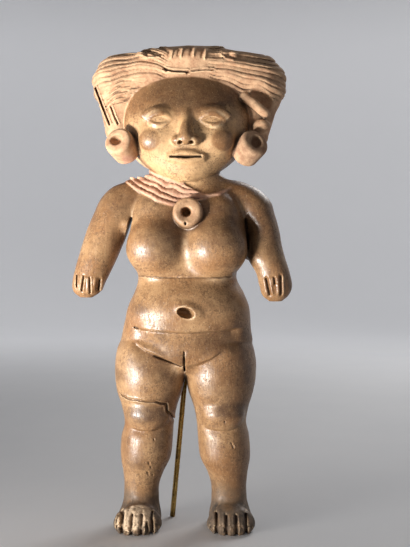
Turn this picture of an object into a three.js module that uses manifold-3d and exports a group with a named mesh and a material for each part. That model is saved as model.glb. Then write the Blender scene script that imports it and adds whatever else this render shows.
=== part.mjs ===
// A standing woman in burnished fired clay, 200 mm high, and the brass rod that props her from behind.
// Millimetres, +Z up. The front is -Y, +X is the viewer's right, and the soles stand on Z = 0.
import * as THREE from 'three';
import { triTable } from 'three/addons/objects/MarchingCubes.js';
import { mergeVertices } from 'three/addons/utils/BufferGeometryUtils.js';
import Module from 'manifold-3d';

// Heights of the body's landmarks.
const INSTEP = 10;
const ANKLE = 16.5;
const CALF = 34;
const KNEE = 46.8;
const THIGH = 63;
const GROIN = 67.5;
const HIP = 75;
const BELLY_FOLD = 82;
const NAVEL = 88.5;
const WAIST = 103.5;
const BUST = 115.5;
const ARMPIT = 126;
const SHOULDER = 137;
const NECK = 147;
const CHIN = 142;
const CROWN = 199.5;
const HEAD_X = 0.8;

// Widths across the front.
const THIGH_WIDTH = 29.6;
const KNEE_WIDTH = 20.5;
const CALF_WIDTH = 21.4;
const ANKLE_WIDTH = 14.8;
const FOOT_WIDTH = 19;
const BELLY_WIDTH = 53.5;
const WAIST_WIDTH = 41;
const CHEST_WIDTH = 49;

// The face keeps the drawing master's rule: three equal thirds from hairline to chin, five eyes wide.
const FACE_HEIGHT = 41;
const FACE_WIDTH = 52;
const THIRD = FACE_HEIGHT / 3;
const EYE_WIDTH = FACE_WIDTH / 5;
const HAIRLINE = CHIN + FACE_HEIGHT;
const BROW = HAIRLINE - THIRD;
const NOSE_BASE = BROW - THIRD;
const MOUTH = NOSE_BASE - THIRD / 3;
const EYES = BROW - THIRD / 4;

// The hair band and the hanging locks.
const BAND_LOBE = 12.6;
const BAND_MIDDLE = 8.8;
const SPOOL_RADIUS = 5.9;
const PENDANT_RADIUS = 6.9;

// The rod, and the gap round it in its hole.
const ROD_DIAMETER = 2.2;
const ROD_GAP = 0.3;
const ROD_TIP = [-5.6, 9.5, 0.12];
const ROD_TOP = [1.2, 5.5, 74];

// The middle of the whole, seen from above, in the measure that the forms are drawn in.
const MIDDLE = [-1.1, -1.3];

// The clay is worked on a grid of this step, then thinned to this many triangles.
const GRID_STEP = 0.75;
const CLAY_TRIANGLES = 9500;

const clamp01 = (t) => Math.min(1, Math.max(0, t));
const smooth = (t) => clamp01(t) ** 2 * (3 - 2 * clamp01(t));

// The smooth line through rows of { z, ...numbers }, which are sorted by z, read at height z.
function through(rows, z, key) {
  const last = rows.length - 1;
  let i = 0;
  while (i < last - 1 && z > rows[i + 1].z) i++;
  const [a, b] = [rows[i], rows[i + 1]];
  const slope = (n) => {
    const [p, q] = [rows[Math.max(0, n - 1)], rows[Math.min(last, n + 1)]];
    return (q[key] - p[key]) / (q.z - p.z);
  };
  const span = b.z - a.z;
  const t = clamp01((z - a.z) / span);
  return (2 * t ** 3 - 3 * t ** 2 + 1) * a[key] + (t ** 3 - 2 * t ** 2 + t) * span * slope(i)
    + (3 * t ** 2 - 2 * t ** 3) * b[key] + (t ** 3 - t ** 2) * span * slope(i + 1);
}

// Each form is { box, distance(x, y, z) }: the space that it lies in, and how far a point is outside it.

// An upright form with oval sections, from rows of { z, x, wide, front, back }.
function column(rows) {
  const ends = [rows[0].z, rows.at(-1).z];
  const reach = (key, sign) => Math.max(...rows.map((r) => sign * r[key]));
  const half = Math.max(...rows.map((r) => r.wide / 2 + Math.abs(r.x)));
  const at = { z: NaN };
  const distance = (x, y, z) => {
    if (z !== at.z) {
      at.z = z;
      at.x = through(rows, z, 'x');
      at.a = Math.max(0.3, through(rows, z, 'wide') / 2);
      at.front = through(rows, z, 'front');
      at.back = through(rows, z, 'back');
    }
    const middle = (at.front + at.back) / 2;
    const b = Math.max(0.3, (at.back - at.front) / 2);
    const [u, v] = [x - at.x, y - middle];
    const k0 = Math.hypot(u / at.a, v / b) + 1e-9;
    const k1 = Math.hypot(u / at.a ** 2, v / b ** 2) + 1e-9;
    const side = (k0 * (k0 - 1)) / k1;
    return Math.max(side, ends[0] - z, z - ends[1]);
  };
  return {
    box: new THREE.Box3(
      new THREE.Vector3(-half, -reach('front', -1), ends[0]),
      new THREE.Vector3(half, reach('back', 1), ends[1]),
    ),
    distance,
  };
}

// An oval ball, turned about its own centre.
function ball(centre, radii, turn = [0, 0, 0]) {
  const inverse = new THREE.Matrix4()
    .makeRotationFromEuler(new THREE.Euler(...turn.map(THREE.MathUtils.degToRad)))
    .setPosition(...centre)
    .invert();
  const [a, b, c] = radii;
  const p = new THREE.Vector3();
  const reach = Math.max(...radii);
  return {
    box: new THREE.Box3().setFromCenterAndSize(
      new THREE.Vector3(...centre), new THREE.Vector3(2 * reach, 2 * reach, 2 * reach)),
    distance: (x, y, z) => {
      p.set(x, y, z).applyMatrix4(inverse);
      const k0 = Math.hypot(p.x / a, p.y / b, p.z / c) + 1e-9;
      const k1 = Math.hypot(p.x / a ** 2, p.y / b ** 2, p.z / c ** 2) + 1e-9;
      return (k0 * (k0 - 1)) / k1;
    },
  };
}

// A round bar from one point to another, with a radius at each end.
function bar(from, to, r0, r1 = r0) {
  const [a, b] = [new THREE.Vector3(...from), new THREE.Vector3(...to)];
  const along = b.clone().sub(a);
  const length2 = Math.max(along.lengthSq(), 1e-9);
  const p = new THREE.Vector3();
  return {
    box: new THREE.Box3().setFromPoints([a, b]).expandByScalar(Math.max(r0, r1)),
    distance: (x, y, z) => {
      p.set(x, y, z).sub(a);
      const t = clamp01(p.dot(along) / length2);
      return p.addScaledVector(along, -t).length() - (r0 + (r1 - r0) * t);
    },
  };
}

// A round thread through several points, with one radius or a radius at each.
function thread(points, radius) {
  const radii = points.map((_, n) => (Array.isArray(radius) ? radius[n] : radius));
  const bars = points.slice(1).map((p, n) => bar(points[n], p, radii[n], radii[n + 1]));
  const box = bars.reduce((whole, b) => whole.union(b.box), new THREE.Box3());
  return { box, distance: (x, y, z) => Math.min(...bars.map((b) => b.distance(x, y, z))) };
}

// A line through [x, z] points on the front: how far a place is off it, to which side, and how far along.
function line(path) {
  let start = 0;
  const legs = path.slice(1).map(([bx, bz], n) => {
    const [ax, az] = path[n];
    const length = Math.hypot(bx - ax, bz - az);
    start += length;
    return { ax, az, ux: (bx - ax) / length, uz: (bz - az) / length, length, start: start - length };
  });
  return (x, z) => {
    let found = { off: Infinity, along: 0 };
    for (const { ax, az, ux, uz, length, start: from } of legs) {
      const t = Math.min(length, Math.max(0, (x - ax) * ux + (z - az) * uz));
      const away = Math.hypot(x - ax - t * ux, z - az - t * uz);
      const side = Math.sign((z - az) * ux - (x - ax) * uz) || 1;
      if (away < Math.abs(found.off)) found = { off: away * side, along: from + t };
    }
    return found;
  };
}

// A short round drum along an axis, with rounded rims.
function drum(centre, axis, radius, halfLength, rim) {
  const [c, n] = [new THREE.Vector3(...centre), new THREE.Vector3(...axis).normalize()];
  const p = new THREE.Vector3();
  return {
    box: new THREE.Box3().setFromPoints([c]).expandByScalar(Math.hypot(radius, halfLength)),
    distance: (x, y, z) => {
      p.set(x, y, z).sub(c);
      const h = p.dot(n);
      const u = Math.sqrt(Math.max(0, p.lengthSq() - h * h)) - (radius - rim);
      const v = Math.abs(h) - (halfLength - rim);
      return Math.hypot(Math.max(u, 0), Math.max(v, 0)) + Math.min(Math.max(u, v), 0) - rim;
    },
  };
}

// Everything of a form on the inner side of a plane, whose normal points out of what is kept.
function sliced(form, point, normal) {
  const n = new THREE.Vector3(...normal).normalize();
  const offset = n.dot(new THREE.Vector3(...point));
  return {
    box: form.box,
    distance: (x, y, z) => Math.max(form.distance(x, y, z), n.x * x + n.y * y + n.z * z - offset),
  };
}

// A block of clay on a grid. Forms are pressed on and cut out of it one by one.
class Clay {
  constructor(low, high, step) {
    this.low = new THREE.Vector3(...low);
    this.step = step;
    this.size = high.map((h, i) => Math.ceil((h - low[i]) / step) + 1);
    this.field = new Float32Array(this.size[0] * this.size[1] * this.size[2]).fill(50);
  }

  index(i, j, k) {
    return i + this.size[0] * (j + this.size[1] * k);
  }

  // Calls visit(index, x, y, z) at each grid point within the margin of a box.
  each(box, margin, visit) {
    const from = ['x', 'y', 'z'].map((c) =>
      Math.max(0, Math.floor((box.min[c] - margin - this.low[c]) / this.step)));
    const to = ['x', 'y', 'z'].map((c, n) =>
      Math.min(this.size[n] - 1, Math.ceil((box.max[c] + margin - this.low[c]) / this.step)));
    for (let k = from[2]; k <= to[2]; k++)
      for (let j = from[1]; j <= to[1]; j++)
        for (let i = from[0]; i <= to[0]; i++)
          visit(this.index(i, j, k), this.low.x + i * this.step, this.low.y + j * this.step,
            this.low.z + k * this.step);
  }

  // Presses a form on, with a fillet of about the blend.
  add(form, blend = 0.5) {
    this.each(form.box, blend + 3, (n, x, y, z) => {
      const [a, b] = [this.field[n], form.distance(x, y, z)];
      const h = Math.max(blend - Math.abs(a - b), 0) / blend;
      this.field[n] = Math.min(a, b) - (h * h * blend) / 4;
    });
  }

  // Cuts a form out, with its edge rounded by about the blend.
  cut(form, blend = 0.4) {
    this.each(form.box, blend + 3, (n, x, y, z) => {
      const [a, b] = [this.field[n], -form.distance(x, y, z)];
      const h = Math.max(blend - Math.abs(a - b), 0) / blend;
      this.field[n] = Math.max(a, b) + (h * h * blend) / 4;
    });
  }

  // Raises or lowers the surface by a relief in millimetres, which depends on the place.
  emboss(box, relief) {
    this.each(box, 0, (n, x, y, z) => {
      this.field[n] -= relief(x, y, z);
    });
  }

  // Draws a line of a half-width and depth into the front, along a path of [x, z] points.
  scratch(path, half, depth, behind = 2) {
    const near = line(path);
    const box = new THREE.Box3().setFromPoints(path.map(([x, z]) => new THREE.Vector3(x, 0, z)));
    box.expandByVector(new THREE.Vector3(half, 0, half));
    box.min.y = this.low.y;
    box.max.y = behind;
    this.emboss(box, (x, y, z) => {
      const t = Math.min(1, Math.abs(near(x, z).off) / half);
      return -depth * (1 - t * t) ** 2;
    });
  }

  // Cuts everything below a height away, flat.
  standOn(height) {
    for (let n = 0; n < this.field.length; n++) {
      const z = this.low.z + Math.floor(n / (this.size[0] * this.size[1])) * this.step;
      this.field[n] = Math.max(this.field[n], height - z);
    }
  }

  // The surface of the clay, by marching cubes: { points, triangles } with shared corners.
  surface() {
    const [nx, ny] = this.size;
    const corner = [0, 1, 1 + nx, nx].flatMap((c) => [c]);
    const corners = [...corner, ...corner.map((c) => c + nx * ny)];
    const edges = [[0, 0], [1, 1], [3, 0], [0, 1], [4, 0], [5, 1], [7, 0], [4, 1],
      [0, 2], [1, 2], [2, 2], [3, 2]];
    const strides = [1, nx, nx * ny];
    const made = new Map();
    const points = [];
    const triangles = [];
    const value = (n) => (Math.abs(this.field[n]) < 1e-4 ? 1e-4 : this.field[n]);
    const pointOn = (n, axis) => {
      const key = 3 * n + axis;
      if (!made.has(key)) {
        const [a, b] = [value(n), value(n + strides[axis])];
        const place = [n % nx, Math.floor(n / nx) % ny, Math.floor(n / (nx * ny))];
        place[axis] += a / (a - b);
        points.push(place.map((g, c) => this.low.getComponent(c) + g * this.step));
        made.set(key, points.length - 1);
      }
      return made.get(key);
    };
    for (let k = 0; k < this.size[2] - 1; k++)
      for (let j = 0; j < ny - 1; j++)
        for (let i = 0; i < nx - 1; i++) {
          const n = this.index(i, j, k);
          let mask = 0;
          corners.forEach((c, bit) => {
            if (value(n + c) < 0) mask |= 1 << bit;
          });
          if (mask === 0 || mask === 255) continue;
          for (let t = 16 * mask; triTable[t] >= 0; t += 3)
            triangles.push([0, 2, 1].map((c) => {
              const [from, axis] = edges[triTable[t + c]];
              return pointOn(n + corners[from], axis);
            }));
        }
    return { points, triangles };
  }
}

// The outer skin alone: a groove's end that lies under the surface leaves a sealed pocket, which is dropped.
function outerSkin({ points, triangles }) {
  const parent = points.map((_, n) => n);
  const root = (n) => {
    while (parent[n] !== n) n = parent[n] = parent[parent[n]];
    return n;
  };
  for (const [a, b, c] of triangles) {
    parent[root(a)] = root(b);
    parent[root(b)] = root(c);
  }
  const lowest = points.reduce((low, p, n) => (p[2] < points[low][2] ? n : low), 0);
  return { points, triangles: triangles.filter((t) => root(t[0]) === root(lowest)) };
}

// Merges the edges whose loss changes the surface least, until only so many triangles are left.
// What a change at a place counts is given by care(x, y, z), so that the fine parts keep more of them.
function thinned({ points, triangles }, wanted, care) {
  const faces = triangles.map((t) => [...t]);
  const alive = faces.map(() => true);
  const around = points.map(() => new Set());
  faces.forEach((t, f) => t.forEach((v) => around[v].add(f)));
  const normalOf = (a, b, c) => {
    const [ux, uy, uz] = [b[0] - a[0], b[1] - a[1], b[2] - a[2]];
    const [vx, vy, vz] = [c[0] - a[0], c[1] - a[1], c[2] - a[2]];
    return [uy * vz - uz * vy, uz * vx - ux * vz, ux * vy - uy * vx];
  };
  // Each corner keeps the sum of the squared distances to the planes that met there.
  const quadrics = points.map(() => new Float64Array(10));
  for (const t of faces) {
    const [nx, ny, nz] = normalOf(...t.map((v) => points[v]));
    const area = Math.hypot(nx, ny, nz) || 1e-12;
    const [a, b, c] = [nx / area, ny / area, nz / area];
    const p = points[t[0]];
    const d = -(a * p[0] + b * p[1] + c * p[2]);
    const q = [a * a, a * b, a * c, a * d, b * b, b * c, b * d, c * c, c * d, d * d];
    const weight = area * care(...p);
    for (const v of t) q.forEach((value, n) => { quadrics[v][n] += value * weight; });
  }
  const errorAt = (q, [x, y, z]) => q[0] * x * x + 2 * q[1] * x * y + 2 * q[2] * x * z + 2 * q[3] * x
    + q[4] * y * y + 2 * q[5] * y * z + 2 * q[6] * y + q[7] * z * z + 2 * q[8] * z + q[9];
  const best = (a, b) => {
    const q = quadrics[a].map((value, n) => value + quadrics[b][n]);
    const [p, r] = [points[a], points[b]];
    const middle = p.map((value, n) => (value + r[n]) / 2);
    const length2 = p.reduce((sum, value, n) => sum + (value - r[n]) ** 2, 0);
    const choices = [middle, p, r];
    const det = q[0] * (q[4] * q[7] - q[5] * q[5]) - q[1] * (q[1] * q[7] - q[5] * q[2])
      + q[2] * (q[1] * q[5] - q[4] * q[2]);
    if (Math.abs(det) > 1e-3) {
      const [i, j, k] = [-q[3], -q[6], -q[8]];
      const place = [
        (i * (q[4] * q[7] - q[5] * q[5]) - q[1] * (j * q[7] - q[5] * k) + q[2] * (j * q[5] - q[4] * k)) / det,
        (q[0] * (j * q[7] - k * q[5]) - i * (q[1] * q[7] - q[5] * q[2]) + q[2] * (q[1] * k - j * q[2])) / det,
        (q[0] * (q[4] * k - j * q[5]) - q[1] * (q[1] * k - j * q[2]) + i * (q[1] * q[5] - q[4] * q[2])) / det,
      ];
      const off2 = place.reduce((sum, value, n) => sum + (value - middle[n]) ** 2, 0);
      if (off2 < length2) choices.unshift(place);
    }
    const costs = choices.map((c) => errorAt(q, c));
    const least = costs.indexOf(Math.min(...costs));
    return { place: choices[least], cost: Math.max(costs[least], 0) + 1e-4 * length2, q };
  };
  const neighbours = (v) => {
    const found = new Set();
    for (const f of around[v]) faces[f].forEach((w) => w !== v && found.add(w));
    return found;
  };
  // A heap of edges, the cheapest on top. An edge whose corners have moved since is stale.
  const stamp = new Int32Array(points.length);
  const heap = [];
  const push = (item) => {
    let n = heap.push(item) - 1;
    while (n > 0 && heap[(n - 1) >> 1].cost > item.cost) {
      heap[n] = heap[(n - 1) >> 1];
      n = (n - 1) >> 1;
    }
    heap[n] = item;
  };
  const pop = () => {
    const [top, item] = [heap[0], heap.pop()];
    if (!heap.length) return top;
    let n = 0;
    for (;;) {
      let child = 2 * n + 1;
      if (child >= heap.length) break;
      if (child + 1 < heap.length && heap[child + 1].cost < heap[child].cost) child++;
      if (heap[child].cost >= item.cost) break;
      heap[n] = heap[child];
      n = child;
    }
    heap[n] = item;
    return top;
  };
  const offer = (a, b) => push({ a, b, stamps: stamp[a] + stamp[b], ...best(a, b) });
  faces.forEach((t) => t.forEach((v, n) => v < t[(n + 1) % 3] && offer(v, t[(n + 1) % 3])));
  let left = faces.length;
  while (left > wanted && heap.length) {
    const { a, b, stamps, place, q } = pop();
    if (!around[a].size || !around[b].size || stamps !== stamp[a] + stamp[b]) continue;
    const shared = [...neighbours(b)].filter((v) => neighbours(a).has(v));
    if (shared.length !== 2) continue;
    const kept = [...new Set([...around[a], ...around[b]])]
      .filter((f) => !(faces[f].includes(a) && faces[f].includes(b)));
    const turns = kept.some((f) => {
      const before = normalOf(...faces[f].map((v) => points[v]));
      const after = normalOf(...faces[f].map((v) => (v === a || v === b ? place : points[v])));
      const dot = before[0] * after[0] + before[1] * after[1] + before[2] * after[2];
      return dot < 0.3 * Math.hypot(...before) * Math.hypot(...after) || Math.hypot(...after) < 1e-4;
    });
    if (turns) continue;
    for (const f of [...around[b]]) {
      if (faces[f].includes(a)) {
        alive[f] = false;
        left--;
        faces[f].forEach((v) => around[v].delete(f));
      } else {
        faces[f] = faces[f].map((v) => (v === b ? a : v));
        around[a].add(f);
      }
    }
    around[b].clear();
    points[a] = place;
    quadrics[a] = q;
    stamp[a]++;
    stamp[b]++;
    for (const v of neighbours(a)) offer(a, v);
  }
  return { points, triangles: faces.filter((_, f) => alive[f]) };
}

function torso(clay) {
  clay.add(column([
    { z: THIGH - 2, x: 0.4, wide: 16, front: -2, back: 8 },
    { z: GROIN, x: 0.5, wide: 40, front: -9, back: 14 },
    { z: HIP, x: 0.8, wide: 54, front: -13.5, back: 16.5 },
    { z: BELLY_FOLD - 1, x: 0.9, wide: BELLY_WIDTH, front: -15, back: 15.5 },
    { z: NAVEL, x: 1.2, wide: BELLY_WIDTH - 2, front: -16, back: 13 },
    { z: WAIST - 7, x: 1.1, wide: WAIST_WIDTH + 5, front: -14.5, back: 10.8 },
    { z: WAIST, x: 1, wide: WAIST_WIDTH, front: -12, back: 10.4 },
    { z: BUST - 3, x: 1, wide: CHEST_WIDTH - 4, front: -11.5, back: 11 },
    { z: ARMPIT, x: 1, wide: CHEST_WIDTH, front: -10.5, back: 12.5 },
    { z: SHOULDER, x: 1, wide: CHEST_WIDTH - 1, front: -8, back: 11.5 },
    { z: SHOULDER + 6, x: 0.8, wide: 36, front: -5.5, back: 9 },
    { z: NECK + 1, x: 0.6, wide: 20, front: -3, back: 6 },
  ]), 1);
  clay.add(column([
    { z: SHOULDER - 3, x: 0.5, wide: 30, front: -6.5, back: 9 },
    { z: SHOULDER + 5, x: 0.3, wide: 29, front: -8, back: 9.5 },
    { z: NECK + 6, x: 0, wide: 28, front: -8, back: 10 },
    { z: NECK + 14, x: 0, wide: 28, front: -8, back: 10 },
  ]), 4);
}

function bust(clay) {
  clay.add(ball([-11.4, -4, BUST + 9], [9.5, 7.6, 13], [10, 0, 0]), 5);
  clay.add(ball([13, -4.6, BUST + 9], [10.5, 8, 13], [10, 0, 0]), 5);
  clay.add(ball([-12.4, -9, BUST - 0.8], [11.7, 8.8, 11], [8, 0, -8]), 3.6);
  clay.add(ball([13.6, -9.8, BUST - 1], [12.3, 10, 11.6], [8, 0, 8]), 3.6);
}

function belly(clay) {
  clay.add(ball([1.1, -5, NAVEL + 2], [24, 12, 10.6]), 6);
  clay.add(ball([0.6, -5.4, HIP - 1.5], [19, 9.6, 9.5]), 4);
}

function buttocks(clay) {
  for (const side of [-1, 1])
    clay.add(ball([side * 13 + 0.4, 7.4, HIP - 3], [14, 10.8, 13]), 4);
}

function leg(clay, side) {
  const shift = 0.2;
  const row = (z, x, wide, front, back) => ({ z, x: side * x + shift, wide, front, back });
  clay.add(column([
    row(1, 18.6, ANKLE_WIDTH - 0.6, -4, 9),
    row(INSTEP, 18.4, ANKLE_WIDTH, -6, 8),
    row(ANKLE, 18.2, ANKLE_WIDTH - 0.2, -6.8, 7),
    row(ANKLE + 5.5, 17.6, ANKLE_WIDTH + 2, -8, 8.5),
    row(CALF - 6, 16.6, CALF_WIDTH - 0.7, -9.8, 11),
    row(CALF + 3, 15.9, CALF_WIDTH, -10.3, 11.2),
    row(KNEE - 4, 15.1, KNEE_WIDTH, -9.8, 9.8),
    row(KNEE + 3, 15, KNEE_WIDTH + 2.5, -11, 10),
    row(KNEE + 9, 14.9, THIGH_WIDTH - 2.6, -13, 13),
    row(THIGH, 14.7, THIGH_WIDTH, -14, 16),
    row(GROIN + 3, 14.6, THIGH_WIDTH - 0.4, -13.6, 17),
    row(HIP + 1, 14.2, THIGH_WIDTH - 3.5, -11.5, 15),
    row(BELLY_FOLD - 1, 13, 18, -6, 8),
  ]), 0.8);
  clay.add(ball([side * 15.4 + 0.6, -7.4, KNEE], [8, 4.7, 5]), 3);
}

function foot(clay, side) {
  const x = side * 18.9;
  clay.add(ball([x, -3.5, 3.2], [FOOT_WIDTH / 2 - 0.6, 12.5, 7.6], [0, 0, side * 6]), 3);
  clay.add(ball([x, -10.5, 3.4], [FOOT_WIDTH / 2 + 0.2, 6.6, 5.2]), 3);
}

function toes(clay, side) {
  const toe = FOOT_WIDTH / 5;
  for (const n of [-1.5, -0.5, 0.5, 1.5]) {
    const x = side * 18.9 + n * toe;
    clay.scratch([[x, INSTEP], [x * 1.01, -1]], 1.15, 1.5, -8);
  }
}

function arms(clay) {
  clay.add(column([
    { z: 94.8, x: -40.5, wide: 5, front: -7.5, back: -4 },
    { z: 97, x: -40.3, wide: 10.6, front: -9.2, back: -1.8 },
    { z: 100, x: -39.8, wide: 13, front: -10, back: -0.4 },
    { z: 108, x: -37.2, wide: 15.6, front: -10.4, back: 3.5 },
    { z: 115, x: -34.8, wide: 16.8, front: -9.8, back: 6 },
    { z: 122.5, x: -32.2, wide: 17.6, front: -8.8, back: 8 },
    { z: 130, x: -29, wide: 18, front: -8, back: 9 },
    { z: 136, x: -25.8, wide: 19, front: -6.5, back: 9 },
    { z: 141, x: -21, wide: 19, front: -4, back: 8 },
    { z: 144, x: -17, wide: 12, front: -1, back: 5 },
  ]), 3);
  clay.add(column([
    { z: 93.2, x: 37.4, wide: 5, front: -8, back: -4.5 },
    { z: 95.5, x: 37.4, wide: 10.5, front: -9.7, back: -2.5 },
    { z: 99.5, x: 37.5, wide: 13.4, front: -10.5, back: -1 },
    { z: 105, x: 36.3, wide: 13.8, front: -10.8, back: 1 },
    { z: 111, x: 33.9, wide: 15.2, front: -10.8, back: 3.5 },
    { z: 117, x: 33.4, wide: 13.6, front: -9, back: 5.5 },
    { z: 123, x: 33, wide: 12.8, front: -8, back: 7 },
    { z: 129, x: 30, wide: 15.5, front: -7.5, back: 8.5 },
    { z: 135, x: 26.8, wide: 18, front: -6.5, back: 9 },
    { z: 140.5, x: 21, wide: 18, front: -4, back: 8 },
    { z: 143.5, x: 17, wide: 12, front: -1, back: 5 },
  ]), 3);
}

function fingers(clay) {
  for (const [x, top] of [[-44.4, 104], [-41.6, 104.5], [-38.9, 104.3], [-35.9, 104]])
    clay.scratch([[x, top], [x - 0.8, 95]], 1.1, 1.4, -4);
  for (const [x, top] of [[33.4, 102.3], [36.2, 102.8], [39, 102.8], [42, 102]])
    clay.scratch([[x, top], [x + 0.6, 93.5]], 1.1, 1.4, -4);
}

// The folds of the body: under the bust, under the belly, along the groin, and below the knees.
function folds(clay) {
  clay.scratch([[-19, WAIST + 0.2], [-10, WAIST - 0.6], [10, WAIST - 0.6], [19, WAIST]], 1.3, 0.6);
  clay.scratch([[-20, BELLY_FOLD + 0.4], [-12, BELLY_FOLD - 0.5], [14, BELLY_FOLD - 0.5],
    [23.5, BELLY_FOLD + 0.6]], 1.8, 1.3);
  clay.scratch([[-21, HIP + 1.5], [-10.2, HIP - 4], [-2.8, GROIN], [0.2, GROIN - 0.8]], 1.9, 1);
  clay.scratch([[17.5, HIP - 0.8], [11, HIP - 5], [5.8, GROIN + 0.2], [0.4, GROIN - 0.6]], 1.9, 1);
  clay.scratch([[0.2, HIP - 1.2], [0.3, GROIN - 1]], 1.3, 2.4);
  for (const side of [-1, 1])
    clay.scratch([[side * 15.4 - 7, KNEE - 5.6], [side * 15.4 + 0.6, KNEE - 6.4],
      [side * 15.4 + 8, KNEE - 5.4]], 1.3, 0.7);
}

function navel(clay) {
  clay.add(ball([0.9, -17.5, NAVEL + 1.8], [4, 1.8, 1.4]), 1.5);
  clay.cut(ball([0, -19, NAVEL], [2.7, 4, 1.9], [0, 12, 0]), 0.8);
}

function head(clay) {
  const row = (z, wide, front, back) => ({ z, x: HEAD_X, wide: wide * FACE_WIDTH, front, back });
  clay.add(column([
    row(CHIN, 0.16, -11.5, 0),
    row(CHIN + 3, 0.42, -14.6, 7),
    row(MOUTH, 0.74, -16, 12),
    row(NOSE_BASE + 4, 0.92, -16.8, 14),
    row(EYES, 1, -16.6, 15),
    row(BROW + 3, 0.99, -15.6, 15.5),
    row(HAIRLINE, 0.9, -10.5, 15.5),
    row(CROWN - 9, 0.7, -6, 13),
    row(CROWN - 5, 0.4, -3, 9),
  ]), 1);
}

function face(clay) {
  const m = HEAD_X;
  const corner = EYE_WIDTH * 0.62;
  const nostril = EYE_WIDTH * 0.2;
  clay.add(bar([m, -15, BROW - 1], [m, -18.6, NOSE_BASE + 2.8], 1.9, 2.8), 1.8);
  for (const side of [-1, 1]) {
    const x = m + side * EYE_WIDTH;
    const lid = EYE_WIDTH * 0.46;
    clay.cut(ball([x, -18.8, EYES], [EYE_WIDTH * 0.62, 3.2, 3.6]), 3);
    clay.add(ball([x, -14.4, EYES], [EYE_WIDTH * 0.5, 2.2, 2.4]), 0.5);
    clay.add(thread([[x - lid, -15, EYES], [x, -16.9, EYES + 2.4], [x + lid, -15, EYES]], 0.85), 0.6);
    clay.add(thread([[x - lid, -15, EYES], [x, -16.7, EYES - 2.2], [x + lid, -15, EYES]], 0.7), 0.6);
    clay.add(thread([[x - side * 5, -15.8, BROW - 1.6], [x, -15.6, BROW + 0.8],
      [x + side * 6, -13.6, BROW - 0.8]], 1.5), 2.5);
    clay.add(ball([m + side * EYE_WIDTH * 0.33, -17.6, NOSE_BASE + 1.8], [2.4, 2.6, 2]), 1.4);
    clay.add(ball([m + side * EYE_WIDTH * 1.15, -12, NOSE_BASE + 3], [7, 5, 6]), 3);
    clay.cut(bar([m + side * nostril, -20.6, NOSE_BASE - 0.4],
      [m + side * nostril * 1.1, -17.4, NOSE_BASE + 2], 1.1), 0.3);
  }
  const lip = (up, y) => [[m - corner, -14.7, MOUTH + up * 0.3], [m, y, MOUTH + up * 1.5],
    [m + corner, -14.7, MOUTH + up * 0.3]];
  clay.add(thread(lip(1, -16.4), 1.4), 1.4);
  clay.add(thread(lip(-1, -16), 1.4), 1.4);
  clay.scratch([[m - corner, MOUTH], [m + corner, MOUTH]], 1, 1.5, -10);
}

// The hair band rolls over the brow from lobe to lobe, and a lock hangs from each behind the ear.
function hair(clay) {
  clay.add(thread([[-27, 4, 184.6], [-11, -0.5, 189.2], [1.5, -2.2, 190.4], [14, -0.5, 189.4], [30, 4, 184.6]],
    [BAND_LOBE - 0.6, BAND_MIDDLE + 0.8, BAND_MIDDLE, BAND_MIDDLE + 0.8, BAND_LOBE]), 2);
  clay.add(ball([0.5, 6, 176], [31, 11.5, 22]), 4);
  clay.add(bar([-27, 4, 184], [-29, 3, 165], 11, 5.6), 3);
  clay.add(bar([30, 4, 183], [30, 3, 162.5], 11.5, 5.2), 3);
  clay.add(ball([0, 9, 160], [24, 7.5, 14]), 4);
}

function faceWindow(clay) {
  clay.cut(sliced(ball([HEAD_X, -20, 162], [27.5, 30, 22.6]), [0, -9, 0], [0, 1, 0]), 1);
}

function crest(clay) {
  clay.add(ball([1.2, -6.5, 195.4], [11.5, 5, 4.2]), 1.5);
  for (const x of [-16.5, -13, -9.5, 16.8, 20.6])
    clay.add(ball([x, -5, 196.8], [2.2, 3, 2]), 0.6);
  for (const x of [-6.5, -3.2, 0, 3.2, 6.6])
    clay.scratch([[x, 200], [x - 0.2, 193.6]], 1.1, 1.1);
  clay.scratch([[-8.3, 187.4], [-4, 186.4], [3, 186.4], [10, 187.2]], 1.1, 1.6);
}

// The open loop in the lock on the viewer's right, and the slit in the one on the left.
function loops(clay) {
  clay.cut(ball([32.2, -9, 177.3], [5.6, 6, 2.6], [0, 28, 0]), 0.8);
  clay.add(thread([[26.5, -6, 178], [31, -7.4, 174.6], [34.6, -5, 171]], 2.1), 1);
  clay.add(ball([32.4, -3, 166.8], [3.8, 4.4, 4.8]), 1);
  clay.scratch([[-37, 183], [-34, 174.5], [-30.6, 166]], 1.2, 1.3);
  clay.scratch([[-30.2, 174], [-27.4, 166.5]], 1.1, 1);
}

// Combed strands fan out sideways from the middle of the band.
function strands(clay) {
  const box = new THREE.Box3(new THREE.Vector3(-42, -22, 176), new THREE.Vector3(45, 8, 201));
  clay.emboss(box, (x, y, z) => {
    const out = Math.abs(x - 1.2);
    const drop = (z - 189) / (6 + out * 0.42) + 0.012 * out;
    const grown = smooth((out - 9) / 8);
    return 0.42 * grown * Math.cos(2 * Math.PI * 4 * drop);
  });
}

function earSpools(clay) {
  clay.add(drum([-25.2, -8.5, 156.4], [-0.36, -0.86, 0.36], SPOOL_RADIUS, 5.4, 1.6), 0.6);
  clay.add(drum([26.6, -8.5, 155.6], [0.42, -0.82, 0.4], SPOOL_RADIUS, 5.4, 1.6), 0.6);
  clay.cut(ball([-27.5, -14, 158.6], [2.6, 5, 2.2]), 0.8);
  clay.cut(ball([29, -13.5, 157.8], [2.4, 5, 2.7]), 0.8);
}

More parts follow.
